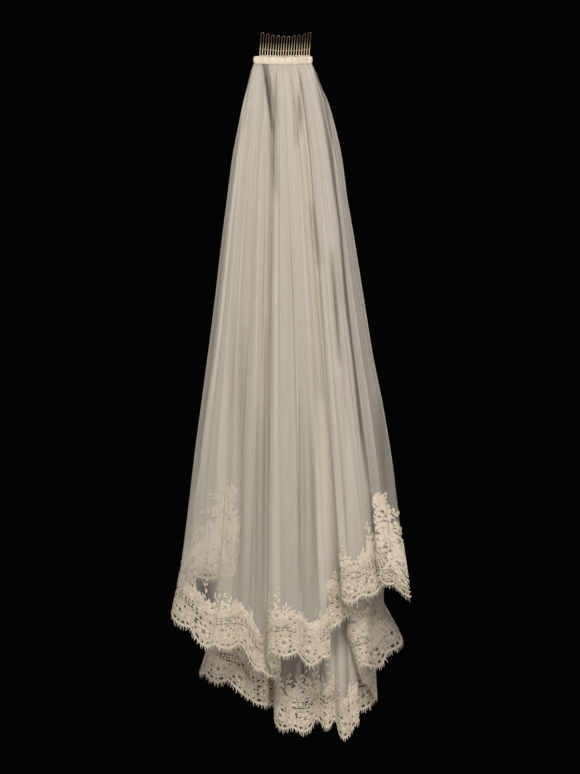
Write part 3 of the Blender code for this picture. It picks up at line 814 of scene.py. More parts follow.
class Strip:
    """A lace edging sewn round a tier's cut edge."""

    def __init__(self, tier):
        self.tier = tier
        self.side = SIDE_LACE_MM - CORNER_MM
        self.corner = math.pi / 2 * CORNER_MM
        self.length = 2 * self.side + 2 * self.corner + tier.length - 2 * CORNER_MM
        self.scallops = round(self.length / SCALLOP_MM)
        self.scallop = self.length / self.scallops

    def border(self, along, height):
        """From the strip to (run along the hem, height above it)."""
        far = along > self.length / 2
        near = np.where(far, self.length - along, along)
        angle = np.clip((near - self.side) / CORNER_MM, 0, math.pi / 2)
        past = np.maximum(near - self.side - self.corner, 0)
        run = CORNER_MM * (1 - np.cos(angle)) + past + height * np.cos(angle)
        above = CORNER_MM * (1 - np.sin(angle)) + np.maximum(self.side - near, 0)
        above = above + height * np.sin(angle)
        return np.where(far, self.tier.length - run, run), above

    def edge(self, along):
        """The scalloped outer edge: lowest in the middle of each scallop."""
        return SCALLOP_DEPTH_MM * (1 - np.abs(np.sin(math.pi * along / self.scallop)))

    def taper(self, along):
        """The lace grows narrow where it ends part way up the side edges."""
        near = np.minimum(along, self.length - along)
        return np.clip((near - SPRAYS_ONLY_MM) / TAPER_MM, NARROWEST, 1.0)

    def along_run(self, run):
        """The place along the strip that lies at a run along the hem, clear of the corners."""
        return run - CORNER_MM + self.side + self.corner

    def put(self, flat):
        """Points of the flat strip (along, up, out) laid on the tier's folds."""
        flat = np.asarray(flat, float)
        run, above = self.border(flat[:, 0], flat[:, 1])
        return self.tier.place(run, above, flat[:, 2])


strips = {"front": Strip(front), "back": Strip(back)}
for word, strip in strips.items():
    print(word, "edging", round(strip.length), "mm,", strip.scallops, "scallops")

# %% [markdown]
# The lace's own cloth is close woven, with small holes left in it: a row of eyelets
# inside each scallop, rows of ladder holes higher up, and four holes in each flower's
# eye. They are real holes, made by leaving out cells of a fine grid. A picture of holes
# would be lighter, but it would have no edges for the light to catch.

# %% Where the holes are
BAND_MM = 64.0
EYELETS = 5
FLOWER_HEIGHT_MM = 22.0
HOLE_GRID_MM = 7.0
EYELET_UP_MM = 6.4
LADDER_PITCH_MM = 6.2
LADDER_ROWS_MM = (39.5, 44.0, 48.5)
EYE_MM = 2.6


def inside_hole(offset_along, offset_up, half_along, half_up):
    """Which offsets from a hole's middle lie inside its oval."""
    return (offset_along / half_along) ** 2 + (offset_up / half_up) ** 2 < 1


def scattered(along, up, grid, seed):
    """Offsets from the nearest of many uneven places, with a number from 0 to 1 for each."""
    column_at = np.floor(along / grid)
    row_at = np.floor(up / grid)
    key = np.sin(column_at * 12.9898 + row_at * 78.233 + seed) * 43758.5453
    draw = key - np.floor(key)
    other = np.modf(np.abs(key) * 0.61803)[0]
    middle_along = (column_at + 0.3 + 0.4 * draw) * grid
    middle_up = (row_at + 0.3 + 0.4 * other) * grid
    return along - middle_along, up - middle_up, draw


def lace_holes(strip, along, up):
    """Which cells of the cloth are left out: eyelets, flower eyes, ladders, loose holes."""
    scallop = strip.scallop
    above_edge = up - strip.edge(along)
    pitch = scallop / EYELETS
    eyelet = ((along / pitch) % 1 - 0.5) * pitch
    uneven = 0.85 + 0.3 * np.sin(2.3 * np.floor(along / pitch))
    holes = inside_hole(eyelet, above_edge - EYELET_UP_MM, 2.5 * uneven, 2.1 * uneven)
    number = np.floor(along / scallop)
    aside = ((along / scallop) % 1 - 0.5) * scallop
    for side_along, side_up in ((-EYE_MM, 0), (EYE_MM, 0), (0, EYE_MM), (0, -EYE_MM)):
        holes |= inside_hole(aside - side_along, up - FLOWER_HEIGHT_MM - side_up, 1.6, 1.6)
    ladder = ((along / LADDER_PITCH_MM) % 1 - 0.5) * LADDER_PITCH_MM
    for row in LADDER_ROWS_MM:
        on_row = inside_hole(ladder, up - row - 1.5 * np.sin(along / 13), 1.9, 1.35)
        holes |= on_row & (number % 3 != 1)
    near_along, near_up, size = scattered(along, up, HOLE_GRID_MM, 3.0)
    loose = inside_hole(near_along, near_up, 1.0 + 1.4 * size, 1.0 + 1.1 * size)
    holes |= loose & (above_edge > 11) & (up < BAND_MM + 4) & (size > 0.5)
    return holes


print("eyelets round the front hem:", strips["front"].scallops * EYELETS)

# %% [markdown]
# The band is widest along the hem and narrows where it climbs the side edges. Its cloth
# is a grid between the scalloped edge and a wavy top. Where the front tier's left side
# hangs inside its outer fold, there is net in front of the lace and little light reaches
# it, so a fifth of its light is taken away there.

# %% Lace cloth
CELL_MM = 1.4
CLOTH_OUT_MM = 0.9
VEILED_ACROSS_MM = -68.0
VEILED_DROP_MM = 852.0
VEILED_LOSS = 0.2


def band_top(strip, along):
    """The wavy upper edge of the woven band."""
    wavy = 5 * np.sin(along / 9.0) + 3.5 * np.sin(along / 3.9 + 1)
    return (BAND_MM + wavy) * strip.taper(along)


def lace_light(tier, places):
    """The light on the lace: less where the front tier's lace hangs inside its left fold."""
    inside = beyond(VEILED_ACROSS_MM - places[..., 0], 8.0)
    above = beyond(VEILED_DROP_MM - BINDING_TOP_MM + places[..., 2], 16.0)
    veiled = VEILED_LOSS * inside * above if tier is front else 0.0
    return light_left(tier, places) * (1 - veiled)


def add_lace_cloth(name, strip):
    """The woven band with its holes, a little way out from the tulle."""
    along = np.arange(SPRAYS_ONLY_MM, strip.length - SPRAYS_ONLY_MM, CELL_MM)
    part = np.linspace(0, 1, 50)
    low = strip.edge(along) + 0.6
    top = np.maximum(band_top(strip, along), low + 6)
    up = low + (top - low) * part[:, None]
    alongs = np.broadcast_to(along, up.shape)
    flat = np.stack([alongs, up, np.full(up.shape, CLOTH_OUT_MM)], axis=-1)
    middle_along = (alongs[1:, 1:] + alongs[1:, :-1]) / 2
    middle_up = (up[1:, 1:] + up[:-1, :-1]) / 2
    keep = ~lace_holes(strip, middle_along, middle_up)
    faces = grid_faces(*up.shape, keep=keep)
    points = strip.put(flat.reshape(-1, 3))
    attributes = (("cut", "FLOAT_VECTOR", flat), ("light", "FLOAT", lace_light(strip.tier, points)))
    return add_mesh(name, points, faces, lace_cloth_look, attributes)


for word, strip in strips.items():
    add_lace_cloth(f"{word}_lace_cloth", strip)
    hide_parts(f"{word}_lace")

# %% [markdown]
# ## Raised work
# Petals, leaves and cords stand up from the cloth by a millimetre or so, enough to catch
# the light. Each is a small pillow: its rim lies on the cloth and its middle line is
# lifted. The rims are painted darker than the crests, as painted shade where the thread
# dips. A whole spray is one stem with leaves set in turn on its two sides.

# %% Petals, leaves, cords and sprays
RIM_MM = 0.1
CREST_MM = 1.3


class Relief:
    """Raised lace work in the flat strip, gathered into one mesh."""

    def __init__(self):
        self.points = []
        self.faces = []

    def blade(self, centres, ways, widths, lifts):
        """A pillow along a line of centres: two rims and a lifted middle."""
        first = len(self.points)
        for (along, up), way, width, lift in zip(centres, ways, widths, lifts):
            aside = (math.cos(way) * width / 2, -math.sin(way) * width / 2)
            for side, height in ((-1, RIM_MM), (0, lift), (1, RIM_MM)):
                self.points.append((along + side * aside[0], up + side * aside[1], height))
        for row in range(len(widths) - 1):
            a, b = first + 3 * row, first + 3 * row + 3
            self.faces += [(a, a + 1, b + 1, b), (a + 1, a + 2, b + 2, b + 1)]

    def leaf(self, along, up, angle, length, width, lift=1.0, blunt=0.3, curl=0.0):
        """A blade from its foot, widest near the middle, that may curl to one side."""
        steps = np.array((0.0, 0.2, 0.45, 0.75, 1.0))
        widths = np.array((0.18, 0.74, 1.0, 0.45 + 0.45 * blunt, 0.04 + 0.34 * blunt)) * width
        ways = angle + curl * steps
        alongs = along + length * steps * np.sin(angle + curl * steps / 2)
        ups = up + length * steps * np.cos(angle + curl * steps / 2)
        lifts = lift * (0.35 + 0.65 * np.sin(math.pi * np.clip(steps, 0.08, 0.92)))
        self.blade(zip(alongs, ups), ways, widths, lifts)

    def cord(self, alongs, ups, width, lift=0.9):
        """A line of thick thread."""
        ways = np.arctan2(np.gradient(alongs), np.gradient(ups))
        count = len(alongs)
        self.blade(zip(alongs, ups), ways, np.full(count, 1.0) * width, np.full(count, lift))

    def flower(self, along, up, radius, petals=5, turn=0.0, eye=0.34):
        """Petals round a ring of cord."""
        for k in range(petals):
            angle = turn + 2 * math.pi * k / petals
            foot = (along + radius * eye * math.sin(angle), up + radius * eye * math.cos(angle))
            width = radius * 4.0 / petals
            self.leaf(*foot, angle, radius * (1 - eye), width, 1.2, 0.9)
        ring = np.linspace(0, 2 * math.pi, 13)
        spot = radius * eye
        self.cord(along + spot * np.sin(ring), up + spot * np.cos(ring), 1.1, 1.0)

    def scroll(self, along, up, start, radius, turns, side):
        """A cord curling inwards."""
        t = np.linspace(0, 1, 18)
        angle = start + side * 2 * math.pi * turns * t
        size = radius * (1 - 0.75 * t)
        self.cord(along + size * np.sin(angle), up + size * np.cos(angle), 1.1, 0.9)

    def spray(self, along, up, angle, length, leaves=7, size=1.0, bend=0.35):
        """A curved stem with leaves on both sides, closer and smaller towards its tip."""
        t = np.linspace(0, 1, 12)
        way = angle + bend * t
        alongs = along + np.cumsum(np.sin(way)) * length / 11
        ups = up + np.cumsum(np.cos(way)) * length / 11
        self.cord(alongs, ups, 1.2 * size)
        for k in range(leaves):
            share = (k + 0.4) / leaves
            spot = min(int(share * 11), 11)
            side = 1 if k % 2 else -1
            blade = (14.0 - 5.5 * share) * size * (1 + 0.2 * math.sin(3.1 * k + along))
            lean = way[spot] + side * (1.25 - 0.5 * share) + 0.25 * math.sin(5.3 * k + up)
            width = (7.4 - 2.8 * share) * size
            self.leaf(alongs[spot], ups[spot], lean, blade, width, 1.1, 0.5, -side * 0.8)
        self.leaf(alongs[-1], ups[-1], way[-1] + 0.4, 8.5 * size, 5.0 * size, 0.9, 0.3)


print("a leaf has", 2 * 4, "faces and a flower of five petals", 5 * 8 + 2 * 12)

# %% [markdown]
# The edging's pattern is that of an ordinary corded lace, drawn afresh: along the rim a
# braid and a fine cord, in each scallop a flower with a four-hole eye, curling cords and
# small leaves over the rest of the band, and pointed leaves along its top. A seeded draw
# sets their places and sizes, so no two are the same.

# %% The pattern along the strip
def lace_pattern(strip, seed):
    """The band's whole pattern, apart from the tall sprays at its ends."""
    relief = Relief()
    draw = np.random.default_rng(seed)
    scallop = strip.scallop
    fine = np.arange(SPRAYS_ONLY_MM, strip.length - SPRAYS_ONLY_MM, 1.7)
    edge = strip.edge(fine)
    taper = strip.taper(fine)
    relief.cord(fine, edge + 1.5, 2.3 + 0.5 * np.sin(fine / 5), 1.1)
    relief.cord(fine, edge + 9.2, 1.3, 1.0)
    relief.cord(fine, (37.0 + 1.5 * np.sin(fine / 13)) * taper, 1.3, 0.9)
    relief.cord(fine, (53.0 + 2.5 * np.sin(fine / 11)) * taper, 1.1, 0.8)
    first = math.ceil(SPRAYS_ONLY_MM / scallop)
    for k in range(first, strip.scallops - first):
        middle = (k + 0.5) * scallop
        size = float(strip.taper(np.array([middle]))[0])
        relief.flower(middle, FLOWER_HEIGHT_MM * size, 9.5 * size, 6, draw.uniform(0, 1))
        relief.flower(k * scallop, 27 * size, 5.5 * size, 5, draw.uniform(0, 1), 0.25)
        for side in (-1, 1):
            start = side * draw.uniform(0.2, 0.9)
            relief.scroll(middle + side * 13, 22 * size, start, 5.2 * size, 0.9, side)
            relief.leaf(k * scallop + side * 1.5, 12, side * 0.6, 11, 4.4, 1.0, 0.3, -side * 0.6)
    add_small_leaves(relief, strip, draw)
    add_top_leaves(relief, strip, draw)
    add_hem_sprays(relief, strip, draw)
    return relief


def add_small_leaves(relief, strip, draw):
    """Leaves scattered over the band between the larger motifs."""
    for along in np.arange(SPRAYS_ONLY_MM + 6, strip.length - SPRAYS_ONLY_MM - 6, 8.0):
        for up in (31.0, 43.0, 51.0, 58.0):
            place = along + draw.uniform(-3, 3)
            size = float(strip.taper(np.array([place]))[0])
            angle = 1.5 * math.sin(place / 17) + draw.uniform(-0.8, 0.8)
            length, width = draw.uniform(5.5, 9.0), draw.uniform(2.8, 4.2)
            height = (up + draw.uniform(-3, 3)) * size
            curl = draw.uniform(-0.8, 0.8)
            relief.leaf(place, height, angle, length * size, width * size, 1.0, 0.3, curl)


def add_top_leaves(relief, strip, draw):
    """Pointed leaves along the top of the band, turned every way."""
    along = SPRAYS_ONLY_MM + 4
    while along < strip.length - SPRAYS_ONLY_MM - 4:
        top = float(band_top(strip, np.array([along]))[0])
        angle = draw.uniform(-1.4, 1.4)
        length, width = draw.uniform(6, 14), draw.uniform(3.4, 5.8)
        foot = top - draw.uniform(3, 9)
        relief.leaf(along, foot, angle, length, width, 1.1, 0.3, draw.uniform(-1.0, 1.0))
        along += draw.uniform(3.2, 6.5)


bare_scallops = 2 * math.ceil(SPRAYS_ONLY_MM / strips["front"].scallop)
print("scallops with a flower:", strips["front"].scallops - bare_scallops)

# %% [markdown]
# Sprays climb from the band into the tulle: low ones all along it, and tall ones where
# the lace ends on the side edges and by the right outer fold. A spray is grown from its
# stem, so it takes one line of numbers to place it.

# %% Sprays
def add_hem_sprays(relief, strip, draw):
    """Low sprays, each a flower with three leafy stems, all along the band's top."""
    along = 70.0
    while along < strip.length - 70:
        foot = float(band_top(strip, np.array([along]))[0]) - 4
        lean = draw.uniform(-1.0, 1.0)
        length = draw.choice((14, 20, 30, 42))
        relief.flower(along + draw.uniform(-4, 4), foot + 6, draw.uniform(7, 10), 5, draw.uniform(0, 1))
        relief.spray(along, foot, lean, length, 6, draw.uniform(0.7, 0.9), -1.2 * lean)
        relief.spray(along + 7, foot, lean + 0.9, length * 0.6, 5, 0.7, -0.8)
        relief.spray(along - 6, foot, lean - 0.7, length * 0.5, 4, 0.7, 0.6)
        along += draw.uniform(18, 34)


def add_tall_sprays(relief, strip, draw):
    """The sprays that finish the lace on the side edges, and those by the right fold."""
    for end, side in ((0.0, 1), (strip.length, -1)):
        for offset, up, angle, length, size in (
            (8, 10, -0.2, 18, 1.0),
            (24, 14, -1.0, 30, 1.1),
            (36, 26, -0.9, 36, 1.1),
            (50, 12, -1.2, 34, 1.2),
            (58, 34, -0.8, 38, 1.1),
            (70, 16, -0.5, 30, 1.3),
            (84, 40, -0.7, 38, 1.2),
            (102, 50, -0.4, 32, 1.1),
            (122, 58, -0.3, 28, 1.1),
        ):
            spot = end + side * offset
            bend = side * draw.uniform(0.1, 0.5)
            relief.spray(spot, up, side * angle, length, 8, 0.78 * size, bend)
            relief.spray(spot + side * 5, up, side * (angle - 0.5), 0.7 * length, 6, 0.7 * size, bend)
            relief.flower(spot + side * 4, up + 5, 7.5 * size, 5, draw.uniform(0, 1))
            relief.flower(spot + side * 2, up + 0.6 * length, 6.0 * size, 6, draw.uniform(0, 1))
    fold_side = strip.along_run(strip.tier.fold_runs[1] - 62)
    for offset, up, angle, length, size in (
        (0, 60, 0.1, 44, 1.0),
        (22, 60, 0.25, 62, 1.2),
        (34, 84, 0.1, 50, 1.1),
        (12, 52, -0.4, 30, 1.2),
    ):
        relief.spray(fold_side + offset, up, angle, length, 7, size, -0.3)
        relief.flower(fold_side + offset + 4, up + 6, 8.0 * size, 5, draw.uniform(0, 1))


# %% [markdown]
# Beyond a tier's outer folds the cloth has turned over, and its wrong side faces
# forwards. Thick thread shows on both sides of a corded lace, so there the raised work is
# set on both sides of the cloth. Elsewhere the wrong side stays plain, which halves the
# faces. Thread stands out of the shade a little, so it keeps a tenth of its light.

# %% Raised work on the lace
LEAST_LIGHT = 0.1


def add_thread_work(name, strip, flat, faces, rise):
    """A piece of thread, from the flat strip onto the folds."""
    points = strip.put(flat)
    light = LEAST_LIGHT + (1 - LEAST_LIGHT) * lace_light(strip.tier, points)
    attributes = (("cut", "FLOAT_VECTOR", flat), ("rise", "FLOAT", rise), ("light", "FLOAT", light))
    return add_mesh(name, points, faces, lace_thread_look, attributes)


def turned_over(strip, flat):
    """Which points lie beyond the tier's outer folds, where the wrong side faces forwards."""
    run, _ = strip.border(flat[:, 0], flat[:, 1])
    return (run < strip.tier.fold_runs[0]) | (run > strip.tier.fold_runs[1])


def add_relief(name, strip, seed):
    """All the raised work of one edging."""
    relief = lace_pattern(strip, seed)
    add_tall_sprays(relief, strip, np.random.default_rng(seed + 50))
    flat = np.array(relief.points)
    rise = np.clip((flat[:, 2] - RIM_MM) / (CREST_MM - RIM_MM), 0, 1)
    flat[:, 2] += CLOTH_OUT_MM
    over = turned_over(strip, flat)
    faces = relief.faces
    other_side = [tuple(i + len(flat) for i in face[::-1]) for face in faces if over[face[0]]]
    used = sorted({i for face in other_side for i in face})
    fresh = {old: len(flat) + k for k, old in enumerate(used)}
    mirrored = flat[[i - len(flat) for i in used]] * (1, 1, -1)
    faces = faces + [tuple(fresh[i] for i in face) for face in other_side]
    rise = np.concatenate([rise, rise[[i - len(flat) for i in used]]])
    flat = np.vstack([flat, mirrored])
    return add_thread_work(name, strip, flat, faces, rise)


SEEDS = {"front": 3, "back": 8}
reliefs = {word: add_relief(f"{word}_lace_relief", strips[word], seed) for word, seed in SEEDS.items()}
print("raised work:", [len(piece.data.polygons) for piece in reliefs.values()], "faces")

# %% [markdown]
# ## The eyelash fringe
# The thread ends left on the scallops look like eyelashes. Each is a narrow tapered
# blade in two bends, and no two lean or reach quite the same.

# %% Lashes
LASH_PITCH_MM = 2.2
LASH_MM = 8.2


def add_lashes(name, strip, seed):
    """One edging's lashes in one mesh."""
    draw = np.random.default_rng(seed)
    along = np.arange(SPRAYS_ONLY_MM + 2, strip.length - SPRAYS_ONLY_MM - 2, LASH_PITCH_MM)
    along = along + draw.uniform(-0.6, 0.6, len(along))
    reach = LASH_MM * draw.uniform(0.5, 1.1, len(along))
    lean = draw.uniform(-2.2, 2.2, len(along))
    rows = []
    for share, width in ((0.0, 1.1), (0.45, 0.8), (1.0, 0.3)):
        for side in (-1, 1):
            spot = along + lean * share + side * width / 2
            up = strip.edge(along) + 1.2 - reach * share
            rows.append(np.stack([spot, up, np.full(len(along), 1.3 - 0.5 * share)], axis=-1))
    flat = np.stack(rows, axis=1).reshape(-1, 3)
    faces = []
    for k in range(len(along)):
        a = 6 * k
        faces += [(a, a + 1, a + 3, a + 2), (a + 2, a + 3, a + 5, a + 4)]
    return add_thread_work(name, strip, flat, faces, np.full(len(flat), 0.8))


for word, seed in SEEDS.items():
    lashes = add_lashes(f"{word}_lashes", strips[word], seed + 20)
    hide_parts(f"{word}_fringe")

# %% [markdown]
# ## The binding
# A satin ribbon is folded over the gathers and stitched down, so its face is slightly
# puckered and its ends are round. It is a closed loop, swept along the comb's arc, and
# small whip stitches cross its top edge between the wires.

# %% Satin binding
BINDING_HALF_MM = 4.1
BINDING_LEFT_MM = -51.2
BINDING_RIGHT_MM = 42.8


def binding_loop(apart, height, ripple):
    """A closed loop round the comb's arc, pushed in and out by small puckers."""
    left = BINDING_LEFT_MM + BINDING_HALF_MM
    right = BINDING_RIGHT_MM - BINDING_HALF_MM
    along = np.linspace(left, right, 90)
    turn = np.linspace(0, math.pi, 14)[1:-1]
    loop = []
    for side in (-1, 1):
        xs = along if side < 0 else along[::-1]
        pucker = ripple * (1.2 * np.sin(xs / 1.7) + np.sin(xs / 0.9) + 0.7 * np.sin(xs / 0.37 + side))
        loop += list(zip(xs, comb_depth(xs) + side * (apart + pucker)))
        end = xs[-1]
        loop += [
            (end - side * apart * math.sin(t), comb_depth(end) + side * apart * math.cos(t))
            for t in turn
        ]
    middle = (left + right) / 2
    centre = (BINDING_TOP_MM + GATHER_FOOT_MM) / 2
    rows = []
    for x, y in loop:
        past = np.clip((abs(x - middle) - (right - left) / 2 + 2) / (BINDING_HALF_MM + 2.5), 0, 1)
        rounded = centre + (height - centre) * math.sqrt(1 - 0.6 * past**2)
        sag = 0.3 * math.sin(x / 3.1) - 0.8 * math.cos((x - middle) / 30)
        rows.append((x, y, rounded + sag))
    return rows


def add_binding():
    """Rows from the top's inner edge over the outside and back up inside."""
    profile = (
        (-21.2, 1.5, 0.0), (-20.2, 1.7, 0.1), (-19.7, 2.3, 0.25), (-19.9, 3.0, 0.3),
        (-20.9, 3.9, 0.28), (-22.4, 4.35, 0.2), (-25.0, 4.5, 0.16), (-28.0, 4.5, 0.18),
        (-30.4, 4.4, 0.24), (-31.8, 4.0, 0.28), (-32.2, 3.5, 0.2), (-31.6, 3.2, 0.1),
        (-26.0, 3.1, 0.0),
    )
    points = []
    for height, apart, ripple in profile:
        points += binding_loop(apart, height, ripple)
    count = len(points) // len(profile)
    faces = []
    for row in range(len(profile) - 1):
        for i in range(count):
            j = (i + 1) % count
            a, b = row * count, (row + 1) * count
            faces.append((b + i, b + j, a + j, a + i))
    return add_mesh("satin_binding", points, faces, satin_look)


def add_tube(name, path, radius, look, sides=8):
    """A round thread or wire along a path of points."""
    curve = bpy.data.curves.new(name, "CURVE")
    curve.dimensions = "3D"
    curve.bevel_depth = radius * MM
    curve.bevel_resolution = max(0, sides // 2 - 2)
    curve.use_fill_caps = True
    for run in path:
        spline = curve.splines.new("POLY")
        spline.points.add(len(run) - 1)
        flat = np.column_stack([np.asarray(run) * MM, np.ones(len(run))])
        spline.points.foreach_set("co", flat.ravel())
    curve.materials.append(look)
    piece = bpy.data.objects.new(name, curve)
    bpy.context.scene.collection.objects.link(piece)
    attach(piece, "root")
    return piece


binding = add_binding()
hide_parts("top_binding")
print("binding", round(BINDING_RIGHT_MM - BINDING_LEFT_MM), "mm long")

# %% [markdown]
# The ribbon is sewn to the comb with whip stitches, two between each pair of wires. Each
# is a short thread over the ribbon's top edge, leaning as a hand-made stitch does.

# %% Whip stitches over the binding's edge
WIRES = 20
COMB_WIDTH_MM = 79.0
WIRE_MM = 1.2
THREAD_RADIUS_MM = 0.34


def stitch_paths():
    """The line of each stitch, from the front over the top to the back."""
    paths = []
    pitch = COMB_WIDTH_MM / (WIRES - 1)
    left = COMB_CENTRE_MM - COMB_WIDTH_MM / 2
    for k in range(WIRES - 1):
        for shift in (0.32, 0.62):
            x = left + pitch * (k + shift)
            lean = 1.1 if shift < 0.5 else 0.8
            loop = []
            for side, height, move in (
                (-4.6, -24.2, -lean), (-4.55, -21.6, -lean / 2), (-3.6, -19.3, 0),
                (-1.2, -18.4, 0.1), (1.2, -18.4, 0.2), (3.6, -19.3, 0.4), (4.6, -23.0, 0.8),
            ):
                loop.append((x + move, comb_depth(x) + side, height))
            paths.append(loop)
    return paths


stitches = add_tube("whip_stitches", stitch_paths(), THREAD_RADIUS_MM, satin_look, 6)
print("stitches:", len(stitches.data.splines))

# %% [markdown]
# ## The comb
# The comb is bought: twenty wires in ten hairpins on one curved spine. The wires lean a
# little as it hangs. A round curve with a bevel gives clean wire. A fine binding wire is
# wound round the spine between them, as on such combs, and crosses the wires once more
# part way up, in a line that sags in the middle.

# %% Comb wires
TOOTH_FOOT_MM = -22.4
TOOTH_LEAN_MM = 3.0
MIDDLE_TIP_MM = 13.0
TIP_RISE_MM = 6.0
SPINE_HEIGHT_MM = -23.5
SPINE_RADIUS_MM = 0.8
FINE_WIRE_RADIUS_MM = 0.24
COIL_RADIUS_MM = 1.0
COIL_TURNS = 60
CROSS_HEIGHT_MM = -8.6
CROSS_SAG_MM = 2.2


def tooth_run(middle, radius, tip):
    """One hairpin: up one wire, round the bend and down the other."""
    bend = tip - WIRE_MM / 2 - radius
    flat = [(-radius, h) for h in np.linspace(TOOTH_FOOT_MM, bend, 10)]
    for angle in np.linspace(math.pi, 0, 11)[1:-1]:
        flat.append((radius * math.cos(angle), bend + radius * math.sin(angle)))
    flat += [(radius, h) for h in np.linspace(bend, TOOTH_FOOT_MM, 10)]
    run = []
    for aside, height in flat:
        x = middle + aside
        lean = TOOTH_LEAN_MM * (height - TOOTH_FOOT_MM) / (tip - TOOTH_FOOT_MM)
        run.append((x + lean, comb_depth(x), height))
    return run


def comb_sag(x):
    """From 0 at the comb's ends to 1 in its middle."""
    return 1 - ((x - COMB_CENTRE_MM) / COMB_HALF_MM) ** 2


def add_comb():
    """Ten hairpins, the spine that carries them and the fine wire wound round both."""
    pitch = COMB_WIDTH_MM / (WIRES - 1)
    left = COMB_CENTRE_MM - COMB_WIDTH_MM / 2
    pieces = []
    for k in range(WIRES // 2):
        middle = left + pitch * (2 * k + 0.5)
        offset = (middle - COMB_CENTRE_MM) / COMB_HALF_MM
        path = tooth_run(middle, pitch / 2, MIDDLE_TIP_MM + TIP_RISE_MM * offset**2)
        tooth = add_tube(f"wire_pair_{k + 1:02d}", [path], WIRE_MM / 2, wire_look, 12)
        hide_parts(f"comb_tooth_{k + 1:02d}")
        pieces.append(tooth)
    x = np.linspace(left, left + COMB_WIDTH_MM, 60)
    line = np.column_stack([x, comb_depth(x), np.full(60, SPINE_HEIGHT_MM)])
    spine = add_tube("spine_wire", [line], SPINE_RADIUS_MM, wire_look, 12)
    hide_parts("comb_spine")
    turns = np.linspace(0, 2 * math.pi * COIL_TURNS, 1200)
    x = np.linspace(left, left + COMB_WIDTH_MM, 1200)
    coil_depth = comb_depth(x) + COIL_RADIUS_MM * np.cos(turns)
    coil = np.column_stack([x, coil_depth, SPINE_HEIGHT_MM + COIL_RADIUS_MM * np.sin(turns)])
    turns = np.linspace(0, 2 * math.pi * (WIRES - 1), 760)
    x = np.linspace(left, left + COMB_WIDTH_MM, 760)
    cross_height = CROSS_HEIGHT_MM - 0.9 * np.sin(turns) - CROSS_SAG_MM * comb_sag(x)
    cross_depth = comb_depth(x) - COIL_RADIUS_MM * np.cos(turns)
    cross = np.column_stack([x + 1.2, cross_depth, cross_height])
    winding = add_tube("spine_winding", [coil, cross], FINE_WIRE_RADIUS_MM, wire_look, 6)
    return pieces + [spine, winding]


comb = add_comb()
print("comb pieces:", len(comb))

# %% [markdown]
# ## Sheets
# The two tiers hang as sheets gathered at the top. The cut of each is a rectangle with
# its lower corners rounded: as wide as the hem is long round its folds, and as long as
# the tier hangs. The lace is sewn on to its tier. Here only the area of each tier's shell
# is printed.

def mesh_area(piece):
    """A piece's area in square metres."""
    return sum(polygon.area for polygon in piece.data.polygons)


for word, tulle, flat, area in (
    ("front", front_tulle, (0.74, 0.96), 0.60),
    ("back", back_tulle, (0.71, 1.10), 0.70),
):
    print(word, "shell area", round(mesh_area(tulle), 3), "m2")

# %% [markdown]
# ## Floor, light and air
# The main light is broad and soft, from the front and a little above, so that the tulle
# stays smooth and only the long creases are drawn. A weaker one fills in from the lower
# right, and one from behind shines through the net when the back is seen. The air round
# the veil is dark for the camera, so that the net shows against it, and pale for
# everything else, so that the cloth is filled in softly.

# %% Floor, lights and air
FLOOR_BELOW_MM = 1500.0
FLOOR_RADIUS_MM = 1200.0
LIGHT_TARGET = (0, 0, -0.5)
NET_LAYERS_SEEN = 48


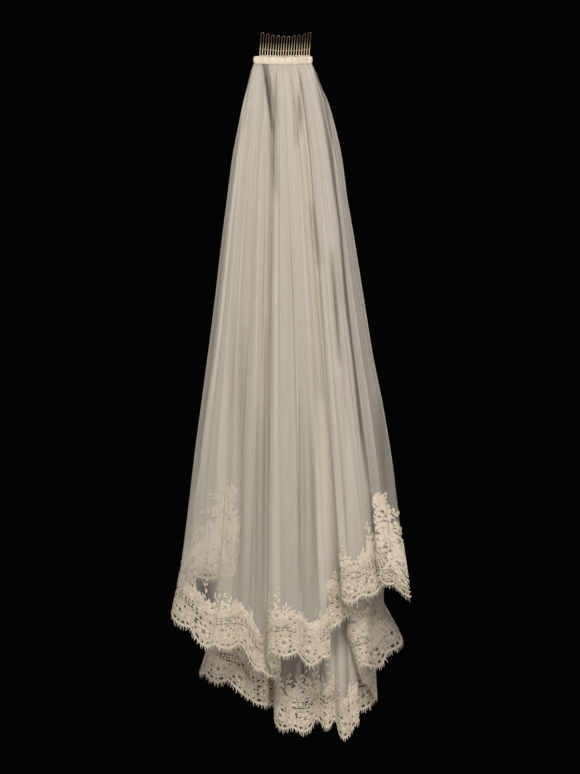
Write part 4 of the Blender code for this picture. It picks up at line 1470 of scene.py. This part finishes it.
def add_floor():
    """A plain pale disc, well below the hem."""
    turn = np.linspace(0, 2 * math.pi, 65)[:-1]
    points = np.column_stack([np.cos(turn), np.sin(turn), np.zeros(64)]) * FLOOR_RADIUS_MM
    points[:, 2] = -FLOOR_BELOW_MM
    mesh = bpy.data.meshes.new("floor")
    mesh.from_pydata((points * MM).tolist(), [], [tuple(range(64))])
    made, _, _ = new_material("pale_floor", (0.72, 0.71, 0.69), 0.8)
    mesh.materials.append(made)
    floor = bpy.data.objects.new("floor", mesh)
    bpy.context.scene.collection.objects.link(floor)
    floor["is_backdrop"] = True


def add_light(name, place, size, power, color):
    """A soft round lamp that faces the middle of the veil."""
    lamp = bpy.data.lights.new(name, "AREA")
    lamp.shape = "DISK"
    lamp.size = size
    lamp.energy = power
    lamp.color = color
    light = bpy.data.objects.new(name, lamp)
    light.location = place
    way = np.array(LIGHT_TARGET) - np.array(place)
    flat = math.hypot(way[0], way[1])
    light.rotation_euler = (math.atan2(flat, -way[2]), 0, math.atan2(way[1], way[0]) - math.pi / 2)
    light.visible_camera = False
    bpy.context.scene.collection.objects.link(light)


def add_air():
    """Dark air for the camera, pale air for the cloth."""
    world = bpy.data.worlds.new("air")
    bpy.context.scene.world = world
    world.use_nodes = True
    tree = world.node_tree
    tree.nodes.clear()
    output = tree.nodes.new("ShaderNodeOutputWorld")
    mix = tree.nodes.new("ShaderNodeMixShader")
    soft = tree.nodes.new("ShaderNodeBackground")
    soft.inputs["Color"].default_value = (1.0, 0.97, 0.93, 1)
    soft.inputs["Strength"].default_value = 0.24
    dark = tree.nodes.new("ShaderNodeBackground")
    dark.inputs["Color"].default_value = (0.0012, 0.0012, 0.0014, 1)
    path = tree.nodes.new("ShaderNodeLightPath")
    tree.links.new(path.outputs["Is Camera Ray"], mix.inputs[0])
    tree.links.new(soft.outputs[0], mix.inputs[1])
    tree.links.new(dark.outputs[0], mix.inputs[2])
    tree.links.new(mix.outputs[0], output.inputs["Surface"])


add_floor()
add_light("key", (0.15, -2.3, 1.1), 0.9, 52, (1.0, 0.96, 0.91))
add_light("fill", (1.1, -2.6, -0.4), 1.4, 18, (1.0, 0.97, 0.93))
add_light("back", (0.7, 2.6, 1.0), 1.2, 60, (1.0, 0.96, 0.92))
add_air()
bpy.context.scene.view_settings.view_transform = "Standard"
bpy.context.scene.cycles.transparent_max_bounces = NET_LAYERS_SEEN
print("lamps:", len(bpy.data.lights))

# %% [markdown]
# ## Sizes and finish
# Both boxes, the frame's and the dressed veil's, are printed. The dressed veil may stand
# a little proud of the frame's box and no more.

# %% Sizes and finish
new_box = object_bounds()
boxes = {
    "cad": [[float(v) for v in corner] for corner in cad_box],
    "visual": [[float(v) for v in corner] for corner in new_box],
}
for key, box in boxes.items():
    print(key, [round((high - low) * 1000) for low, high in zip(*box)], "mm")
